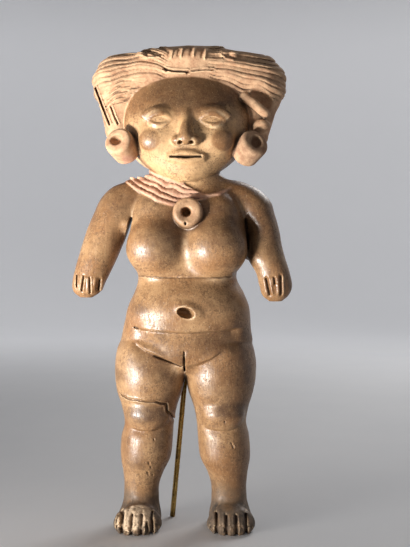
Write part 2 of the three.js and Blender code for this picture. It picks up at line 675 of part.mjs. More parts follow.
// Four strands lie over the viewer's left shoulder, down to the pendant, and thin out on the right.
function necklace(clay) {
  const near = line([[-22, 148], [-17, 143.4], [-9, 138.4], [0, 135], [8, 134.8], [16, 137], [22, 141]]);
  const box = new THREE.Box3(new THREE.Vector3(-24, -20, 128), new THREE.Vector3(24, 4, 150));
  clay.emboss(box, (x, y, z) => {
    const { off, along } = near(x, z);
    const half = 5.2 - 3 * smooth((along - 24) / 12);
    const height = 1.1 - 0.7 * smooth((along - 26) / 14);
    return height * smooth((half - Math.abs(off)) / 1.2) * (0.8 + 0.4 * Math.cos(2 * Math.PI * off / 2.7));
  });
}

function pendant(clay) {
  clay.add(drum([2.4, -13, 128], [0, -0.97, 0.2], PENDANT_RADIUS, 3.6, 1.5), 0.6);
  clay.cut(ball([1.2, -18, 128.8], [2.5, 3.4, 2.2]), 0.7);
  clay.cut(ball([1, -17, 133.2], [0.8, 2, 0.7]), 0.3);
  clay.cut(ball([1.6, -17, 122.8], [0.5, 2, 0.9]), 0.3);
}

// The plain back: a shallow spine, and the cleft below it.
function back(clay) {
  clay.cut(thread([[1, 15.5, ARMPIT + 4], [1, 12.4, WAIST + 2], [0.8, 15.6, BELLY_FOLD + 3]], 2.4), 3);
  clay.cut(thread([[0.5, 19.2, BELLY_FOLD], [0.4, 20.4, HIP - 2], [0.4, 17, THIGH]], 2.2), 2);
}

function figureClay() {
  const clay = new Clay([-50, -30, -3], [50, 26, 203], GRID_STEP);
  torso(clay);
  for (const side of [-1, 1]) {
    leg(clay, side);
    foot(clay, side);
  }
  buttocks(clay);
  belly(clay);
  bust(clay);
  arms(clay);
  hair(clay);
  faceWindow(clay);
  head(clay);
  face(clay);
  crest(clay);
  strands(clay);
  loops(clay);
  necklace(clay);
  earSpools(clay);
  pendant(clay);
  navel(clay);
  folds(clay);
  fingers(clay);
  for (const side of [-1, 1]) toes(clay, side);
  back(clay);
  clay.standOn(0);
  return clay;
}

// A round rod from one point to another.
function rod(from, to, radius) {
  const [a, b] = [new THREE.Vector3(...from), new THREE.Vector3(...to)];
  const geometry = new THREE.CylinderGeometry(radius, radius, a.distanceTo(b), 24);
  const turn = new THREE.Quaternion().setFromUnitVectors(
    new THREE.Vector3(0, 1, 0), b.clone().sub(a).normalize());
  return geometry.applyQuaternion(turn).translate(...a.add(b).multiplyScalar(0.5));
}

const wasm = await Module();
wasm.setup();

function solidOf(geometry) {
  const merged = mergeVertices(geometry.clone().deleteAttribute('normal').deleteAttribute('uv'), 1e-4);
  return new wasm.Manifold(new wasm.Mesh({
    numProp: 3,
    vertProperties: new Float32Array(merged.attributes.position.array),
    triVerts: new Uint32Array(merged.index.array),
  }));
}

function geometryOf(solid) {
  const { vertProperties, triVerts } = solid.getMesh();
  const geometry = new THREE.BufferGeometry();
  geometry.setAttribute('position', new THREE.BufferAttribute(new Float32Array(vertProperties), 3));
  geometry.setIndex(new THREE.BufferAttribute(new Uint32Array(triVerts), 1));
  return geometry;
}

function surfaceGeometry({ points, triangles }) {
  const geometry = new THREE.BufferGeometry();
  geometry.setAttribute('position', new THREE.Float32BufferAttribute(points.flat(), 3));
  geometry.setIndex(triangles.flat());
  return geometry;
}

// The hole for the rod is a little wider and longer than the rod, and runs out past its tip.
function rodHole() {
  const [tip, top] = [new THREE.Vector3(...ROD_TIP), new THREE.Vector3(...ROD_TOP)];
  const along = top.clone().sub(tip).normalize();
  const end = top.clone().addScaledVector(along, ROD_GAP);
  const start = tip.clone().addScaledVector(along, -2);
  return solidOf(rod(start.toArray(), end.toArray(), ROD_DIAMETER / 2 + ROD_GAP));
}

function mesh(name, geometry, colour, roughness, metalness) {
  const made = new THREE.Mesh(geometry, new THREE.MeshStandardMaterial({ color: colour, roughness, metalness }));
  made.name = name;
  return made;
}

// The head and the necklace are finer work than the limbs.
const care = (x, y, z) => (z > BUST + 12 && y < 6 ? 4 : 1);
const skin = thinned(outerSkin(figureClay().surface()), CLAY_TRIANGLES, care);
const clay = solidOf(surfaceGeometry(skin));
const group = new THREE.Group();
group.add(mesh('clay_figure', geometryOf(clay.subtract(rodHole())), 0xb08560, 0.55, 0));
group.add(mesh('support_rod', rod(ROD_TIP, ROD_TOP, ROD_DIAMETER / 2), 0xb09040, 0.35, 1));
for (const part of group.children) part.geometry.translate(-MIDDLE[0], -MIDDLE[1], 0);
export default group;
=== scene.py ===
"""A standing woman in burnished fired clay, propped from behind by a brass rod.

The figure is modelled as clay is: forms are pressed on, cut out and incised on a fine grid, which holds the
distance to the surface in millimetres. All forms are placed in the measure of the CAD figure, feet on Z = 0.
"""
import math
from collections import namedtuple

import bpy
import numpy as np
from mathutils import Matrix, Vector


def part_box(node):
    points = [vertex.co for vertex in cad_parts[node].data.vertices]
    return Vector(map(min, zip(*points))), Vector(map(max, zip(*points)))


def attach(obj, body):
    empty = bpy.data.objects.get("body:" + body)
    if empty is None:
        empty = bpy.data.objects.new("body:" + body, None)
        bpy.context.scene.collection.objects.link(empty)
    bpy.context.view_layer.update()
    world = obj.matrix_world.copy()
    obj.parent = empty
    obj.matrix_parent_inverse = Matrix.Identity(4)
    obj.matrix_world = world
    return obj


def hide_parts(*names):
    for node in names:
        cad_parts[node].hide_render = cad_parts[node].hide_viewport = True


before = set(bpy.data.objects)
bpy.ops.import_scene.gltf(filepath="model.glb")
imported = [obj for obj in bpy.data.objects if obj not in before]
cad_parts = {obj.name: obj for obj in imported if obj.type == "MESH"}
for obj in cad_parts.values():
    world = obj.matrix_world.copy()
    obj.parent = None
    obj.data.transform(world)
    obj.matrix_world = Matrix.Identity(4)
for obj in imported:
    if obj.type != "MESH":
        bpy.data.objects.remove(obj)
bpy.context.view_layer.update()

# Heights of the body's landmarks, in millimetres.
INSTEP = 10
ANKLE = 16.5
CALF = 34
KNEE = 46.8
THIGH = 63
GROIN = 67.5
HIP = 75
BELLY_FOLD = 82
NAVEL = 88.5
WAIST = 103.5
BUST = 115.5
ARMPIT = 126
SHOULDER = 137
NECK = 147
CHIN = 142
CROWN = 197.5
HEAD_X = 0.8

# Widths across the front.
THIGH_WIDTH = 29.6
KNEE_WIDTH = 20.5
CALF_WIDTH = 21.4
ANKLE_WIDTH = 14.8
FOOT_WIDTH = 19
FOOT_X = 18.9
BELLY_WIDTH = 53.5
WAIST_WIDTH = 41
CHEST_WIDTH = 49

# The face keeps the drawing master's rule: three equal thirds from hairline to chin, five eyes wide.
FACE_HEIGHT = 41
FACE_WIDTH = 52
THIRD = FACE_HEIGHT / 3
EYE_WIDTH = FACE_WIDTH / 5
HAIRLINE = CHIN + FACE_HEIGHT
BROW = HAIRLINE - THIRD
NOSE_BASE = BROW - THIRD
MOUTH = NOSE_BASE - THIRD / 3
EYES = BROW - THIRD / 4

# The hair band, the ear spools, the pendant and the rod.
BAND_LOBE = 12.6
BAND_MIDDLE = 8.8
SPOOL_RADIUS = 5.9
PENDANT_RADIUS = 6
ROD_DIAMETER = 2.2
ROD_GAP = 0.3
ROD_TIP = (-5.6, 9.5, 0.12)
ROD_TOP = (1.2, 5.5, 74)

# The middle of the whole from above, the drawn width over the hands, and a drawn millimetre in metres.
MIDDLE = (-1.1, -1.3)
DRAWN_WIDTH = 90.68
figure_low, figure_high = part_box("clay_figure")
UNIT = (figure_high[0] - figure_low[0]) / DRAWN_WIDTH

GRID_STEP = 0.32
CLAY_TRIANGLES = 195_000

Form = namedtuple("Form", "low high distance")


def in_frame(p):
    """A drawn point, in millimetres, as a place in the frame, in metres."""
    return Vector(((p[0] - MIDDLE[0]) * UNIT, (p[1] - MIDDLE[1]) * UNIT, p[2] * UNIT))


def smooth(t):
    """An even step from 0 to 1 as t goes from 0 to 1."""
    t = np.clip(t, 0, 1)
    return t * t * (3 - 2 * t)


def bump(t):
    """A round hill: 1 at t = 0, down to 0 at t = 1 and beyond."""
    return (1 - np.minimum(np.abs(t), 1) ** 2) ** 2


def noise(x, y, z, size, seed):
    """Smooth value noise from -1 to 1, with blobs of about that size. The same seed gives the same noise."""
    x, y, z = np.broadcast_arrays(x, y, z)
    places = [np.asarray(c, float) / size + 1000 for c in (x, y, z)]
    cells = [np.floor(c).astype(np.int64) for c in places]
    parts = [smooth(c - i) for c, i in zip(places, cells)]
    total = np.zeros(x.shape)
    for corner in range(8):
        steps = [(corner >> n) & 1 for n in range(3)]
        weight = 1.0
        for part, step in zip(parts, steps):
            weight = weight * (part if step else 1 - part)
        i, j, k = (c + s for c, s in zip(cells, steps))
        mixed = (i * 73856093) ^ (j * 19349663) ^ (k * 83492791) ^ (seed * 2654435761)
        mixed = (mixed ^ (mixed >> 13)) * 1274126177 & 0xFFFFFFFF
        mixed = (mixed ^ (mixed >> 16)) & 0xFFFF
        total += weight * (mixed / 32767.5 - 1)
    return total


def through(rows, z):
    """The smooth curve through rows of numbers, whose first is the height, read at heights z: a row each."""
    heights = rows[:, 0]
    n = np.clip(np.searchsorted(heights, z, side="left") - 1, 0, len(heights) - 2)
    span = heights[n + 1] - heights[n]
    t = np.clip((z - heights[n]) / span, 0, 1)
    before, after = np.maximum(n - 1, 0), np.minimum(n + 2, len(heights) - 1)
    a, b = rows[n, 1:].T, rows[n + 1, 1:].T
    slope_a = (rows[n + 1, 1:].T - rows[before, 1:].T) / (heights[n + 1] - heights[before])
    slope_b = (rows[after, 1:].T - a) / (heights[after] - heights[n])
    return ((2 * t**3 - 3 * t**2 + 1) * a + (t**3 - 2 * t**2 + t) * span * slope_a
            + (3 * t**2 - 2 * t**3) * b + (t**3 - t**2) * span * slope_b)


def oval_distance(u, v, w, a, b, c):
    """About how far a point is outside an oval ball with these half-lengths."""
    k0 = np.sqrt((u / a) ** 2 + (v / b) ** 2 + (w / c) ** 2) + 1e-9
    k1 = np.sqrt((u / a**2) ** 2 + (v / b**2) ** 2 + (w / c**2) ** 2) + 1e-9
    return k0 * (k0 - 1) / k1


def column(rows):
    """An upright form with oval sections, from rows of (z, x, wide, front, back)."""
    rows = np.array(rows, float)
    bottom, top = rows[0, 0], rows[-1, 0]
    half = (rows[:, 2] / 2 + abs(rows[:, 1])).max()

    def distance(x, y, z):
        middle, wide, front, back = (c.reshape(z.shape) for c in through(rows, z.ravel()))
        a, b = np.maximum(wide / 2, 0.3), np.maximum((back - front) / 2, 0.3)
        side = oval_distance(x - middle, y - (front + back) / 2, 0, a, b, 1)
        return np.maximum(side, np.maximum(bottom - z, z - top))

    return Form((-half, rows[:, 3].min(), bottom), (half, rows[:, 4].max(), top), distance)


def turned(p, turn):
    """Coordinates p turned back by angles about X, Y and Z, in degrees."""
    x, y, z = p
    ax, ay, az = (math.radians(a) for a in turn)
    # The turn is made about X first, in the turned frame's order X, Y, Z, so it is undone as its transpose.
    rx = np.array([[1, 0, 0], [0, math.cos(ax), -math.sin(ax)], [0, math.sin(ax), math.cos(ax)]])
    ry = np.array([[math.cos(ay), 0, math.sin(ay)], [0, 1, 0], [-math.sin(ay), 0, math.cos(ay)]])
    rz = np.array([[math.cos(az), -math.sin(az), 0], [math.sin(az), math.cos(az), 0], [0, 0, 1]])
    m = (rx @ ry @ rz).T
    return tuple(m[n, 0] * x + m[n, 1] * y + m[n, 2] * z for n in range(3))


def ball(centre, radii, turn=(0, 0, 0)):
    """An oval ball, turned about its own centre."""
    reach = max(radii)

    def distance(x, y, z):
        u, v, w = turned((x - centre[0], y - centre[1], z - centre[2]), turn)
        return oval_distance(u, v, w, *radii)

    return Form([c - reach for c in centre], [c + reach for c in centre], distance)


def bar(start, end, r0, r1=None):
    """A round bar between two points, with a radius at each end."""
    r1 = r0 if r1 is None else r1
    along = [b - a for a, b in zip(start, end)]
    length2 = max(sum(c * c for c in along), 1e-9)
    widest = max(r0, r1)

    def distance(x, y, z):
        p = (x - start[0], y - start[1], z - start[2])
        t = np.clip(sum(c * d for c, d in zip(p, along)) / length2, 0, 1)
        away = sum((c - t * d) ** 2 for c, d in zip(p, along))
        return np.sqrt(away) - (r0 + (r1 - r0) * t)

    low = [min(a, b) - widest for a, b in zip(start, end)]
    return Form(low, [max(a, b) + widest for a, b in zip(start, end)], distance)


def thread(points, radius):
    """A round thread through several points, with one radius or a radius at each."""
    radii = radius if isinstance(radius, (list, tuple)) else [radius] * len(points)
    bars = [bar(*pair) for pair in zip(points, points[1:], radii, radii[1:])]

    def distance(x, y, z):
        nearest = bars[0].distance(x, y, z)
        for other in bars[1:]:
            nearest = np.minimum(nearest, other.distance(x, y, z))
        return nearest

    low = [min(b.low[n] for b in bars) for n in range(3)]
    return Form(low, [max(b.high[n] for b in bars) for n in range(3)], distance)


def drum(centre, axis, radius, half, rim):
    """A short round drum along an axis, with rounded rims."""
    length = math.sqrt(sum(c * c for c in axis))
    axis = [c / length for c in axis]
    reach = math.hypot(radius, half)

    def distance(x, y, z):
        p = (x - centre[0], y - centre[1], z - centre[2])
        h = sum(c * d for c, d in zip(p, axis))
        u = np.sqrt(np.maximum(0, sum(c * c for c in p) - h * h)) - (radius - rim)
        v = abs(h) - (half - rim)
        return np.hypot(np.maximum(u, 0), np.maximum(v, 0)) + np.minimum(np.maximum(u, v), 0) - rim

    return Form([c - reach for c in centre], [c + reach for c in centre], distance)


def sliced(form, point, normal):
    """What lies of a form on the inner side of a plane, whose normal points out of what is kept."""
    length = math.sqrt(sum(c * c for c in normal))
    nx, ny, nz = (c / length for c in normal)
    offset = nx * point[0] + ny * point[1] + nz * point[2]

    def distance(x, y, z):
        return np.maximum(form.distance(x, y, z), nx * x + ny * y + nz * z - offset)

    return Form(form.low, form.high, distance)


def line(path):
    """A line through (x, z) points on the front: gives how far off it a place is, signed, and how far along."""

    def near(x, z):
        x, z = np.broadcast_arrays(x, z)
        off, along, start = np.full(x.shape, 1e9), np.zeros(x.shape), 0
        for (ax, az), (bx, bz) in zip(path, path[1:]):
            length = math.hypot(bx - ax, bz - az)
            ux, uz = (bx - ax) / length, (bz - az) / length
            t = np.clip((x - ax) * ux + (z - az) * uz, 0, length)
            away = np.hypot(x - ax - t * ux, z - az - t * uz)
            side = np.where((z - az) * ux - (x - ax) * uz < 0, -1, 1)
            closer = away < abs(off)
            off, along = np.where(closer, away * side, off), np.where(closer, start + t, along)
            start += length
        return off, along

    return near


def path_length(path):
    return sum(math.dist(a, b) for a, b in zip(path, path[1:]))


class Clay:
    """A block of clay on a grid, as the distance to its surface in millimetres, negative inside."""

    def __init__(self, low, high, step):
        self.low = np.array(low, float)
        self.step = step
        self.size = [math.ceil((h - l) / step) + 1 for l, h in zip(low, high)]
        self.field = np.full(self.size, 50, np.float32)

    def block(self, low, high, margin=0):
        """The grid within a box: the slices of it, and its x, y and z."""
        slices, axes = [], []
        for n in range(3):
            first = max(0, math.floor((low[n] - margin - self.low[n]) / self.step))
            last = min(self.size[n] - 1, math.ceil((high[n] + margin - self.low[n]) / self.step))
            slices.append(slice(first, last + 1))
            shape = [1, 1, 1]
            shape[n] = -1
            axes.append((self.low[n] + np.arange(first, last + 1) * self.step).reshape(shape))
        return tuple(slices), *axes

    def add(self, form, blend=0.5):
        """Presses a form on, with a fillet of about the blend."""
        slices, x, y, z = self.block(form.low, form.high, blend + 3)
        a, b = self.field[slices], form.distance(x, y, z)
        h = np.maximum(blend - abs(a - b), 0) / blend
        self.field[slices] = np.minimum(a, b) - h * h * blend / 4

    def cut(self, form, blend=0.4):
        """Cuts a form out, with its edge rounded by about the blend."""
        slices, x, y, z = self.block(form.low, form.high, blend + 3)
        a, b = self.field[slices], -form.distance(x, y, z)
        h = np.maximum(blend - abs(a - b), 0) / blend
        self.field[slices] = np.maximum(a, b) + h * h * blend / 4

    def emboss(self, low, high, relief):
        """Raises the surface within a box by a relief in millimetres, which depends on the place."""
        slices, x, y, z = self.block(low, high)
        self.field[slices] -= relief(x, y, z)

    def on_front(self, path, reach, behind, profile):
        """Works along a path of (x, z) points on the front, with a relief by profile(off, along, length)."""
        near, length = line(path), path_length(path)
        low = (min(p[0] for p in path) - reach, self.low[1], min(p[1] for p in path) - reach)
        high = (max(p[0] for p in path) + reach, behind, max(p[1] for p in path) + reach)
        self.emboss(low, high, lambda x, y, z: profile(*near(x, z), length))

    def scratch(self, path, half, depth, behind=2, burr=0.0):
        """Draws a line of a half-width and depth, with a burr of clay pushed up on both sides of it."""

        def profile(off, along, length):
            ends = smooth(along / half + 0.3) * smooth((length - along) / half + 0.3)
            return depth * ends * (burr * bump((abs(off) / half - 1.5) / 0.9) - bump(off / half))

        self.on_front(path, 2.5 * half, behind, profile)

    def ridge(self, path, half, height, behind=2):
        """Leaves a thin burr of clay standing along a line."""
        self.scratch(path, half, -height, behind)

    def fold(self, path, drop, fade, lip=0.0, behind=2):
        """A fold along a path from left to right: the flesh above it stands out over the flesh below."""

        def profile(off, along, length):
            ends = smooth(along / 6) * smooth((length - along) / 6)
            below = smooth((0.6 - off) / 1.2) * np.exp(np.minimum(off, 0) / fade)
            return ends * (lip * np.exp(-abs(off) / 2.5) * smooth((off + 0.6) / 1.2) - drop * below)

        self.on_front(path, 3.5 * fade, behind, profile)

    def stand_on(self, height):
        """Cuts everything below a height away, flat."""
        z = self.low[2] + np.arange(self.size[2]) * self.step
        np.maximum(self.field, height - z, out=self.field, casting="unsafe")

    def at(self, points):
        """The distance to the surface at any points, and its slope."""
        g = (points - self.low) / self.step
        cell = np.clip(np.floor(g).astype(int), 0, np.array(self.size) - 2)
        t = np.clip(g - cell, 0, 1)
        corners = {}
        for c in np.ndindex(2, 2, 2):
            i, j, k = (cell + c).T
            corners[c] = self.field[i, j, k].astype(float)
        value = 0
        slope = np.zeros(points.shape)
        for c, f in corners.items():
            w = [t[:, n] if c[n] else 1 - t[:, n] for n in range(3)]
            value = value + w[0] * w[1] * w[2] * f
            for n in range(3):
                rest = w[(n + 1) % 3] * w[(n + 2) % 3]
                slope[:, n] += (1 if c[n] else -1) * rest * f
        return value, slope / self.step

    def surface(self):
        """The surface as points and quads: one point in each cell that it crosses, drawn onto it."""
        f = self.field
        inside = f < 0
        count = sum(inside[tuple(slice(c, s - 1 + c) for c, s in zip(corner, f.shape))].astype(np.uint8)
                    for corner in np.ndindex(2, 2, 2))
        mixed = (count > 0) & (count < 8)
        cells = np.argwhere(mixed)
        index = np.full(mixed.shape, -1, np.int32)
        index[mixed] = np.arange(len(cells))
        total, hits = np.zeros(cells.shape), np.zeros(len(cells))
        for a in np.ndindex(2, 2, 2):
            for axis in range(3):
                if a[axis]:
                    continue
                b = tuple(c + (n == axis) for n, c in enumerate(a))
                fa, fb = f[tuple((cells + a).T)], f[tuple((cells + b).T)]
                crossed = (fa < 0) != (fb < 0)
                point = np.array(a, float) + np.zeros(cells.shape)
                point[:, axis] = np.where(crossed, fa / np.where(crossed, fa - fb, 1), 0)
                total[crossed] += point[crossed]
                hits[crossed] += 1
        points = self.low + self.step * (cells + total / hits[:, None])
        for _ in range(3):
            value, slope = self.at(points)
            steep = np.maximum((slope**2).sum(1), 0.05)
            move = -(value / steep)[:, None] * slope
            reach = np.linalg.norm(move, axis=1)
            points += move * np.minimum(1, 0.35 * self.step / np.maximum(reach, 1e-9))[:, None]
        quads = []
        for axis in range(3):
            u, v = np.eye(3, dtype=int)[(axis + 1) % 3], np.eye(3, dtype=int)[(axis + 2) % 3]
            here = inside[tuple(slice(0, -1) if n == axis else slice(1, -1) for n in range(3))]
            there = inside[tuple(slice(1, None) if n == axis else slice(1, -1) for n in range(3))]
            edges = np.argwhere(here != there)
            outward = here[tuple(edges.T)]
            edges += np.array([n != axis for n in range(3)], int)
            ring = [index[tuple((edges - s).T)] for s in (0 * u, u, u + v, v)]
            quad = np.stack(ring, 1)
            quads.append(np.where(outward[:, None], quad, quad[:, ::-1]))
        return points, np.concatenate(quads)


def torso(clay):
    clay.add(column([
        (THIGH - 2, 0.4, 16, -2, 8),
        (GROIN, 0.5, 40, -9, 14),
        (HIP, 0.8, 54, -13.5, 16.5),
        (BELLY_FOLD - 1, 0.9, BELLY_WIDTH, -15, 15.5),
        (NAVEL, 1.5, BELLY_WIDTH - 3, -16, 13),
        (WAIST - 7, 1.7, WAIST_WIDTH + 4, -14.5, 10.8),
        (WAIST, 1, WAIST_WIDTH, -12, 10.4),
        (BUST - 3, 1, CHEST_WIDTH - 4, -11.5, 11),
        (ARMPIT, 1, CHEST_WIDTH, -10.5, 12.5),
        (SHOULDER, 1, CHEST_WIDTH - 1, -8, 11.5),
        (SHOULDER + 6, 0.8, 36, -5.5, 9),
        (NECK + 1, 0.6, 20, -3, 6),
    ]), 1)
    clay.add(column([
        (SHOULDER - 3, 0.5, 30, -6.5, 9),
        (SHOULDER + 5, 0.3, 29, -8, 9.5),
        (NECK + 6, 0, 28, -8, 10),
        (NECK + 14, 0, 28, -8, 10),
    ]), 4)


def bust(clay):
    clay.add(ball((-11.4, -4, BUST + 9), (9.5, 7.6, 13), (10, 0, 0)), 5)
    clay.add(ball((13, -4.6, BUST + 9), (10.5, 8, 13), (10, 0, 0)), 5)
    clay.add(ball((-12.4, -8.8, BUST - 0.6), (11.5, 8.6, 11.2), (12, 0, -8)), 5)
    clay.add(ball((13.6, -9.6, BUST - 0.8), (12.1, 9.8, 11.8), (12, 0, 8)), 5)
    clay.add(ball((-23.6, -4.5, ARMPIT - 1), (2.6, 3, 2.6)), 2.5)


def belly(clay):
    clay.add(ball((1.6, -5, NAVEL + 1), (22.6, 12, 10.6)), 6)
    clay.add(ball((0.6, -5.4, HIP - 1.5), (19, 9.6, 9.5)), 4)


def buttocks(clay):
    for side in (-1, 1):
        clay.add(ball((side * 13 + 0.4, 7.4, HIP - 3), (14, 10.8, 13)), 4)


def leg(clay, side):
    rows = [
        (1, 18.6, ANKLE_WIDTH - 0.6, -4, 9),
        (INSTEP, 18.4, ANKLE_WIDTH, -6, 8),
        (ANKLE, 18.2, ANKLE_WIDTH - 0.2, -6.8, 7),
        (ANKLE + 5.5, 17.6, ANKLE_WIDTH + 2, -8, 8.5),
        (CALF - 6, 16.6, CALF_WIDTH - 0.7, -9.8, 11),
        (CALF + 3, 15.9, CALF_WIDTH, -10.3, 11.2),
        (KNEE - 4, 15.1, KNEE_WIDTH, -9.8, 9.8),
        (KNEE + 3, 15, KNEE_WIDTH + 2.5, -11, 10),
        (KNEE + 9, 14.9, THIGH_WIDTH - 2.6, -13, 13),
        (THIGH, 14.7, THIGH_WIDTH, -14, 16),
        (GROIN + 3, 14.6, THIGH_WIDTH - 0.4, -13.6, 17),
        (HIP + 1, 14.2, THIGH_WIDTH - 3.5, -11.5, 15),
        (BELLY_FOLD - 1, 13, 18, -6, 8),
    ]
    clay.add(column([(z, side * x + 0.2, *rest) for z, x, *rest in rows]), 0.8)
    clay.add(ball((side * 15.4 + 0.6, -7.4, KNEE), (8, 4.7, 5)), 3)


def foot(clay, side):
    x = side * FOOT_X
    clay.add(ball((x, -3.5, 3.2), (FOOT_WIDTH / 2 - 0.6, 12.5, 7.6), (0, 0, side * 6)), 3)
    clay.add(ball((x, -10.5, 3.4), (FOOT_WIDTH / 2 + 0.2, 6.6, 5.2)), 3)


def toes(clay, side):
    toe = FOOT_WIDTH / 5
    for n in (-1.5, -0.5, 0.5, 1.5):
        x = side * FOOT_X + n * toe
        clay.scratch([(x, INSTEP - 2.2), (x * 1.01, -1)], 0.9, 1.3, -8, 0.25)
    for n in (-2, -1, 0, 1, 2):
        x = side * FOOT_X + n * toe * 0.95
        top = INSTEP - 6 - 0.4 * abs(n)
        clay.scratch([(x - 1, top - 1.6), (x - 0.8, top), (x, top + 0.5), (x + 0.8, top), (x + 1, top - 1.6)],
                     0.45, 0.4, -12, 0.3)


def arms(clay):
    clay.add(column([
        (94.8, -40.5, 5, -7.5, -4),
        (97, -40.3, 10.6, -9.2, -1.8),
        (100, -39.8, 13, -10, -0.4),
        (108, -37.2, 15.6, -10.4, 3.5),
        (115, -34.8, 16.8, -9.8, 6),
        (122.5, -32.2, 17.6, -8.8, 8),
        (130, -29, 18, -8, 9),
        (136, -25.8, 19, -6.5, 9),
        (141, -21, 19, -4, 8),
        (144, -17, 12, -1, 5),
    ]), 3)
    clay.add(column([
        (93.2, 37.4, 5, -8, -4.5),
        (95.5, 37.4, 10.5, -9.7, -2.5),
        (99.5, 37.5, 13.4, -10.5, -1),
        (105, 36.3, 13.8, -10.8, 1),
        (111, 33.9, 15.2, -10.8, 3.5),
        (117, 33.4, 13.6, -9, 5.5),
        (123, 33, 12.8, -8, 7),
        (129, 30, 15.5, -7.5, 8.5),
        (135, 26.8, 18, -6.5, 9),
        (140.5, 21, 18, -4, 8),
        (143.5, 17, 12, -1, 5),
    ]), 3)


def armpits(clay):
    """The sharp crease along the arm on the viewer's left, and the deep hollow beside the one on the right."""
    clay.scratch([(-21.9, 127.4), (-22.9, 123.2), (-24.2, 118.2), (-24.8, 115)], 0.8, 2.4, 10)
    clay.add(thread([(25.6, 1.6, 127), (27.4, 1.6, 120), (27.2, 1.4, 113.6)], 3.4), 1.2)
    clay.scratch([(25, 127.5), (26, 121), (26, 114.5)], 0.7, 1, 3)


def fingers(clay):
    """Short grooves part the fingers, each with a burr along its sides."""
    grooves = (
        ((-43.8, 104.2), (-43.9, 98.8), 0.45),
        ((-40.8, 103.9), (-41.8, 97.2), 0.55),
        ((-38.4, 103), (-38.5, 96.4), 0.55),
        ((-34.7, 102.6), (-35.6, 97.6), 0.95),
        ((33.3, 103), (34.9, 95.6), 0.8),
        ((36.4, 103.2), (36.8, 100), 0.6),
        ((39, 104), (39.3, 95.8), 0.75),
    )
    for top, low, half in grooves:
        clay.scratch([top, low], half, 0.6 + 0.7 * half, -3, 0.35)


def folds(clay):
    """The folds of the body: under the bust, under the belly, along the groin, and below the knees."""
    clay.scratch([(-19, WAIST + 0.2), (-10, WAIST - 0.5), (10, WAIST - 0.7), (19, WAIST - 0.2)], 0.45, 0.35)
    clay.fold([(-20.5, BELLY_FOLD + 0.6), (-12, BELLY_FOLD - 0.6), (1, BELLY_FOLD - 1.2),
               (14, BELLY_FOLD - 0.6), (24, BELLY_FOLD + 0.8)], 2, 3.8, 1)
    clay.scratch([(-20.6, BELLY_FOLD + 0.8), (-18.2, BELLY_FOLD + 0.2)], 0.5, 1.1)
    clay.fold([(-21.5, HIP + 2.5), (-16, HIP - 1.2), (-9, HIP - 4.2), (-2.8, GROIN + 0.4),
               (0.2, GROIN - 0.6)], 2, 4, 0.5)
    clay.scratch([(-12.4, HIP - 3.6), (-6, GROIN + 1.4), (-0.6, GROIN - 0.6)], 0.5, 0.9)
    clay.fold([(0.2, GROIN - 0.6), (5.8, GROIN + 0.6), (11, HIP - 4.6), (17.5, HIP - 0.2)], 0.9, 3, 0.3)
    clay.scratch([(0, HIP - 1.6), (0.1, GROIN + 2)], 0.42, 1.6)
    clay.scratch([(0, HIP - 4), (0.1, GROIN - 2.5)], 0.6, 2.6)
    for side in (-1, 1):
        x = side * 15.4
        clay.fold([(x - 8, KNEE - 4.6), (x - 3, KNEE - 6), (x + 2, KNEE - 6.2), (x + 8, KNEE - 4.6)], 0.9, 2.6, 0.4)


def navel(clay):
    clay.add(ball((2, -16.8, NAVEL + 1.5), (5.4, 2.2, 2.6), (0, 20, 0)), 2)
    clay.cut(ball((0.8, -18.4, NAVEL + 0.4), (3.5, 5.4, 2.1), (0, 15, 0)), 0.5)


def head_form():
    rows = [
        (CHIN, 0.16, -11.5, 0),
        (CHIN + 3, 0.42, -14.6, 7),
        (MOUTH, 0.74, -16, 12),
        (NOSE_BASE + 4, 0.92, -16.8, 14),
        (EYES, 1, -16.6, 15),
        (BROW + 3, 0.99, -15.6, 15.5),
        (HAIRLINE, 0.9, -10.5, 15.5),
        (CROWN - 9, 0.7, -6, 13),
        (CROWN - 5, 0.4, -3, 9),
    ]
    return column([(z, HEAD_X, wide * FACE_WIDTH, front, back) for z, wide, front, back in rows])


def head(clay):
    clay.add(head_form(), 1)


def arched(x, half, z, rise, y_end, y_middle):
    """Points of a shallow arch over the face, from side to side."""
    points = []
    for n in range(-4, 5):
        lift = 1 - (n / 4) ** 2
        points.append((x + n / 4 * half, y_end + (y_middle - y_end) * lift, z + rise * lift))
    return points


def face(clay):
    m = HEAD_X
    corner = EYE_WIDTH * 0.62
    nostril = EYE_WIDTH * 0.2
    lid = EYE_WIDTH * 0.46
    clay.add(bar((m, -15, BROW - 1), (m, -18.6, NOSE_BASE + 2.8), 1.9, 2.8), 1.8)
    for side in (-1, 1):
        x = m + side * EYE_WIDTH
        clay.cut(ball((x, -18.8, EYES), (EYE_WIDTH * 0.62, 3.2, 3.6)), 3)
        clay.add(ball((x, -14.4, EYES), (EYE_WIDTH * 0.5, 2.2, 2.4)), 0.5)
        clay.add(thread(arched(x, lid, EYES, 2.3, -15, -16.8), 0.8), 0.5)
        clay.add(thread(arched(x, lid, EYES, -2, -15, -16.6), 0.65), 0.5)
        clay.add(thread(arched(x + side, 5.6, BROW - 1.4, 2.2, -14.6, -15.6), 1.3), 2.5)
        clay.add(ball((m + side * EYE_WIDTH * 0.33, -17.6, NOSE_BASE + 1.8), (2.4, 2.6, 2)), 1.4)
        clay.add(ball((m + side * EYE_WIDTH * 1.15, -12, NOSE_BASE + 3), (7, 5, 6)), 3)
        clay.cut(bar((m + side * nostril, -20.6, NOSE_BASE - 0.4),
                     (m + side * nostril * 1.1, -17.4, NOSE_BASE + 2), 1.1), 0.3)
    for up, y in ((1, -16.4), (-1, -16)):
        clay.add(thread(arched(m, corner, MOUTH + up * 0.2, up * 1.3, -14.9, y), 1.3), 1.4)
    clay.scratch([(m - corner, MOUTH + 0.2), (m, MOUTH - 0.1), (m + corner, MOUTH + 0.2)], 0.6, 1.5, -10)


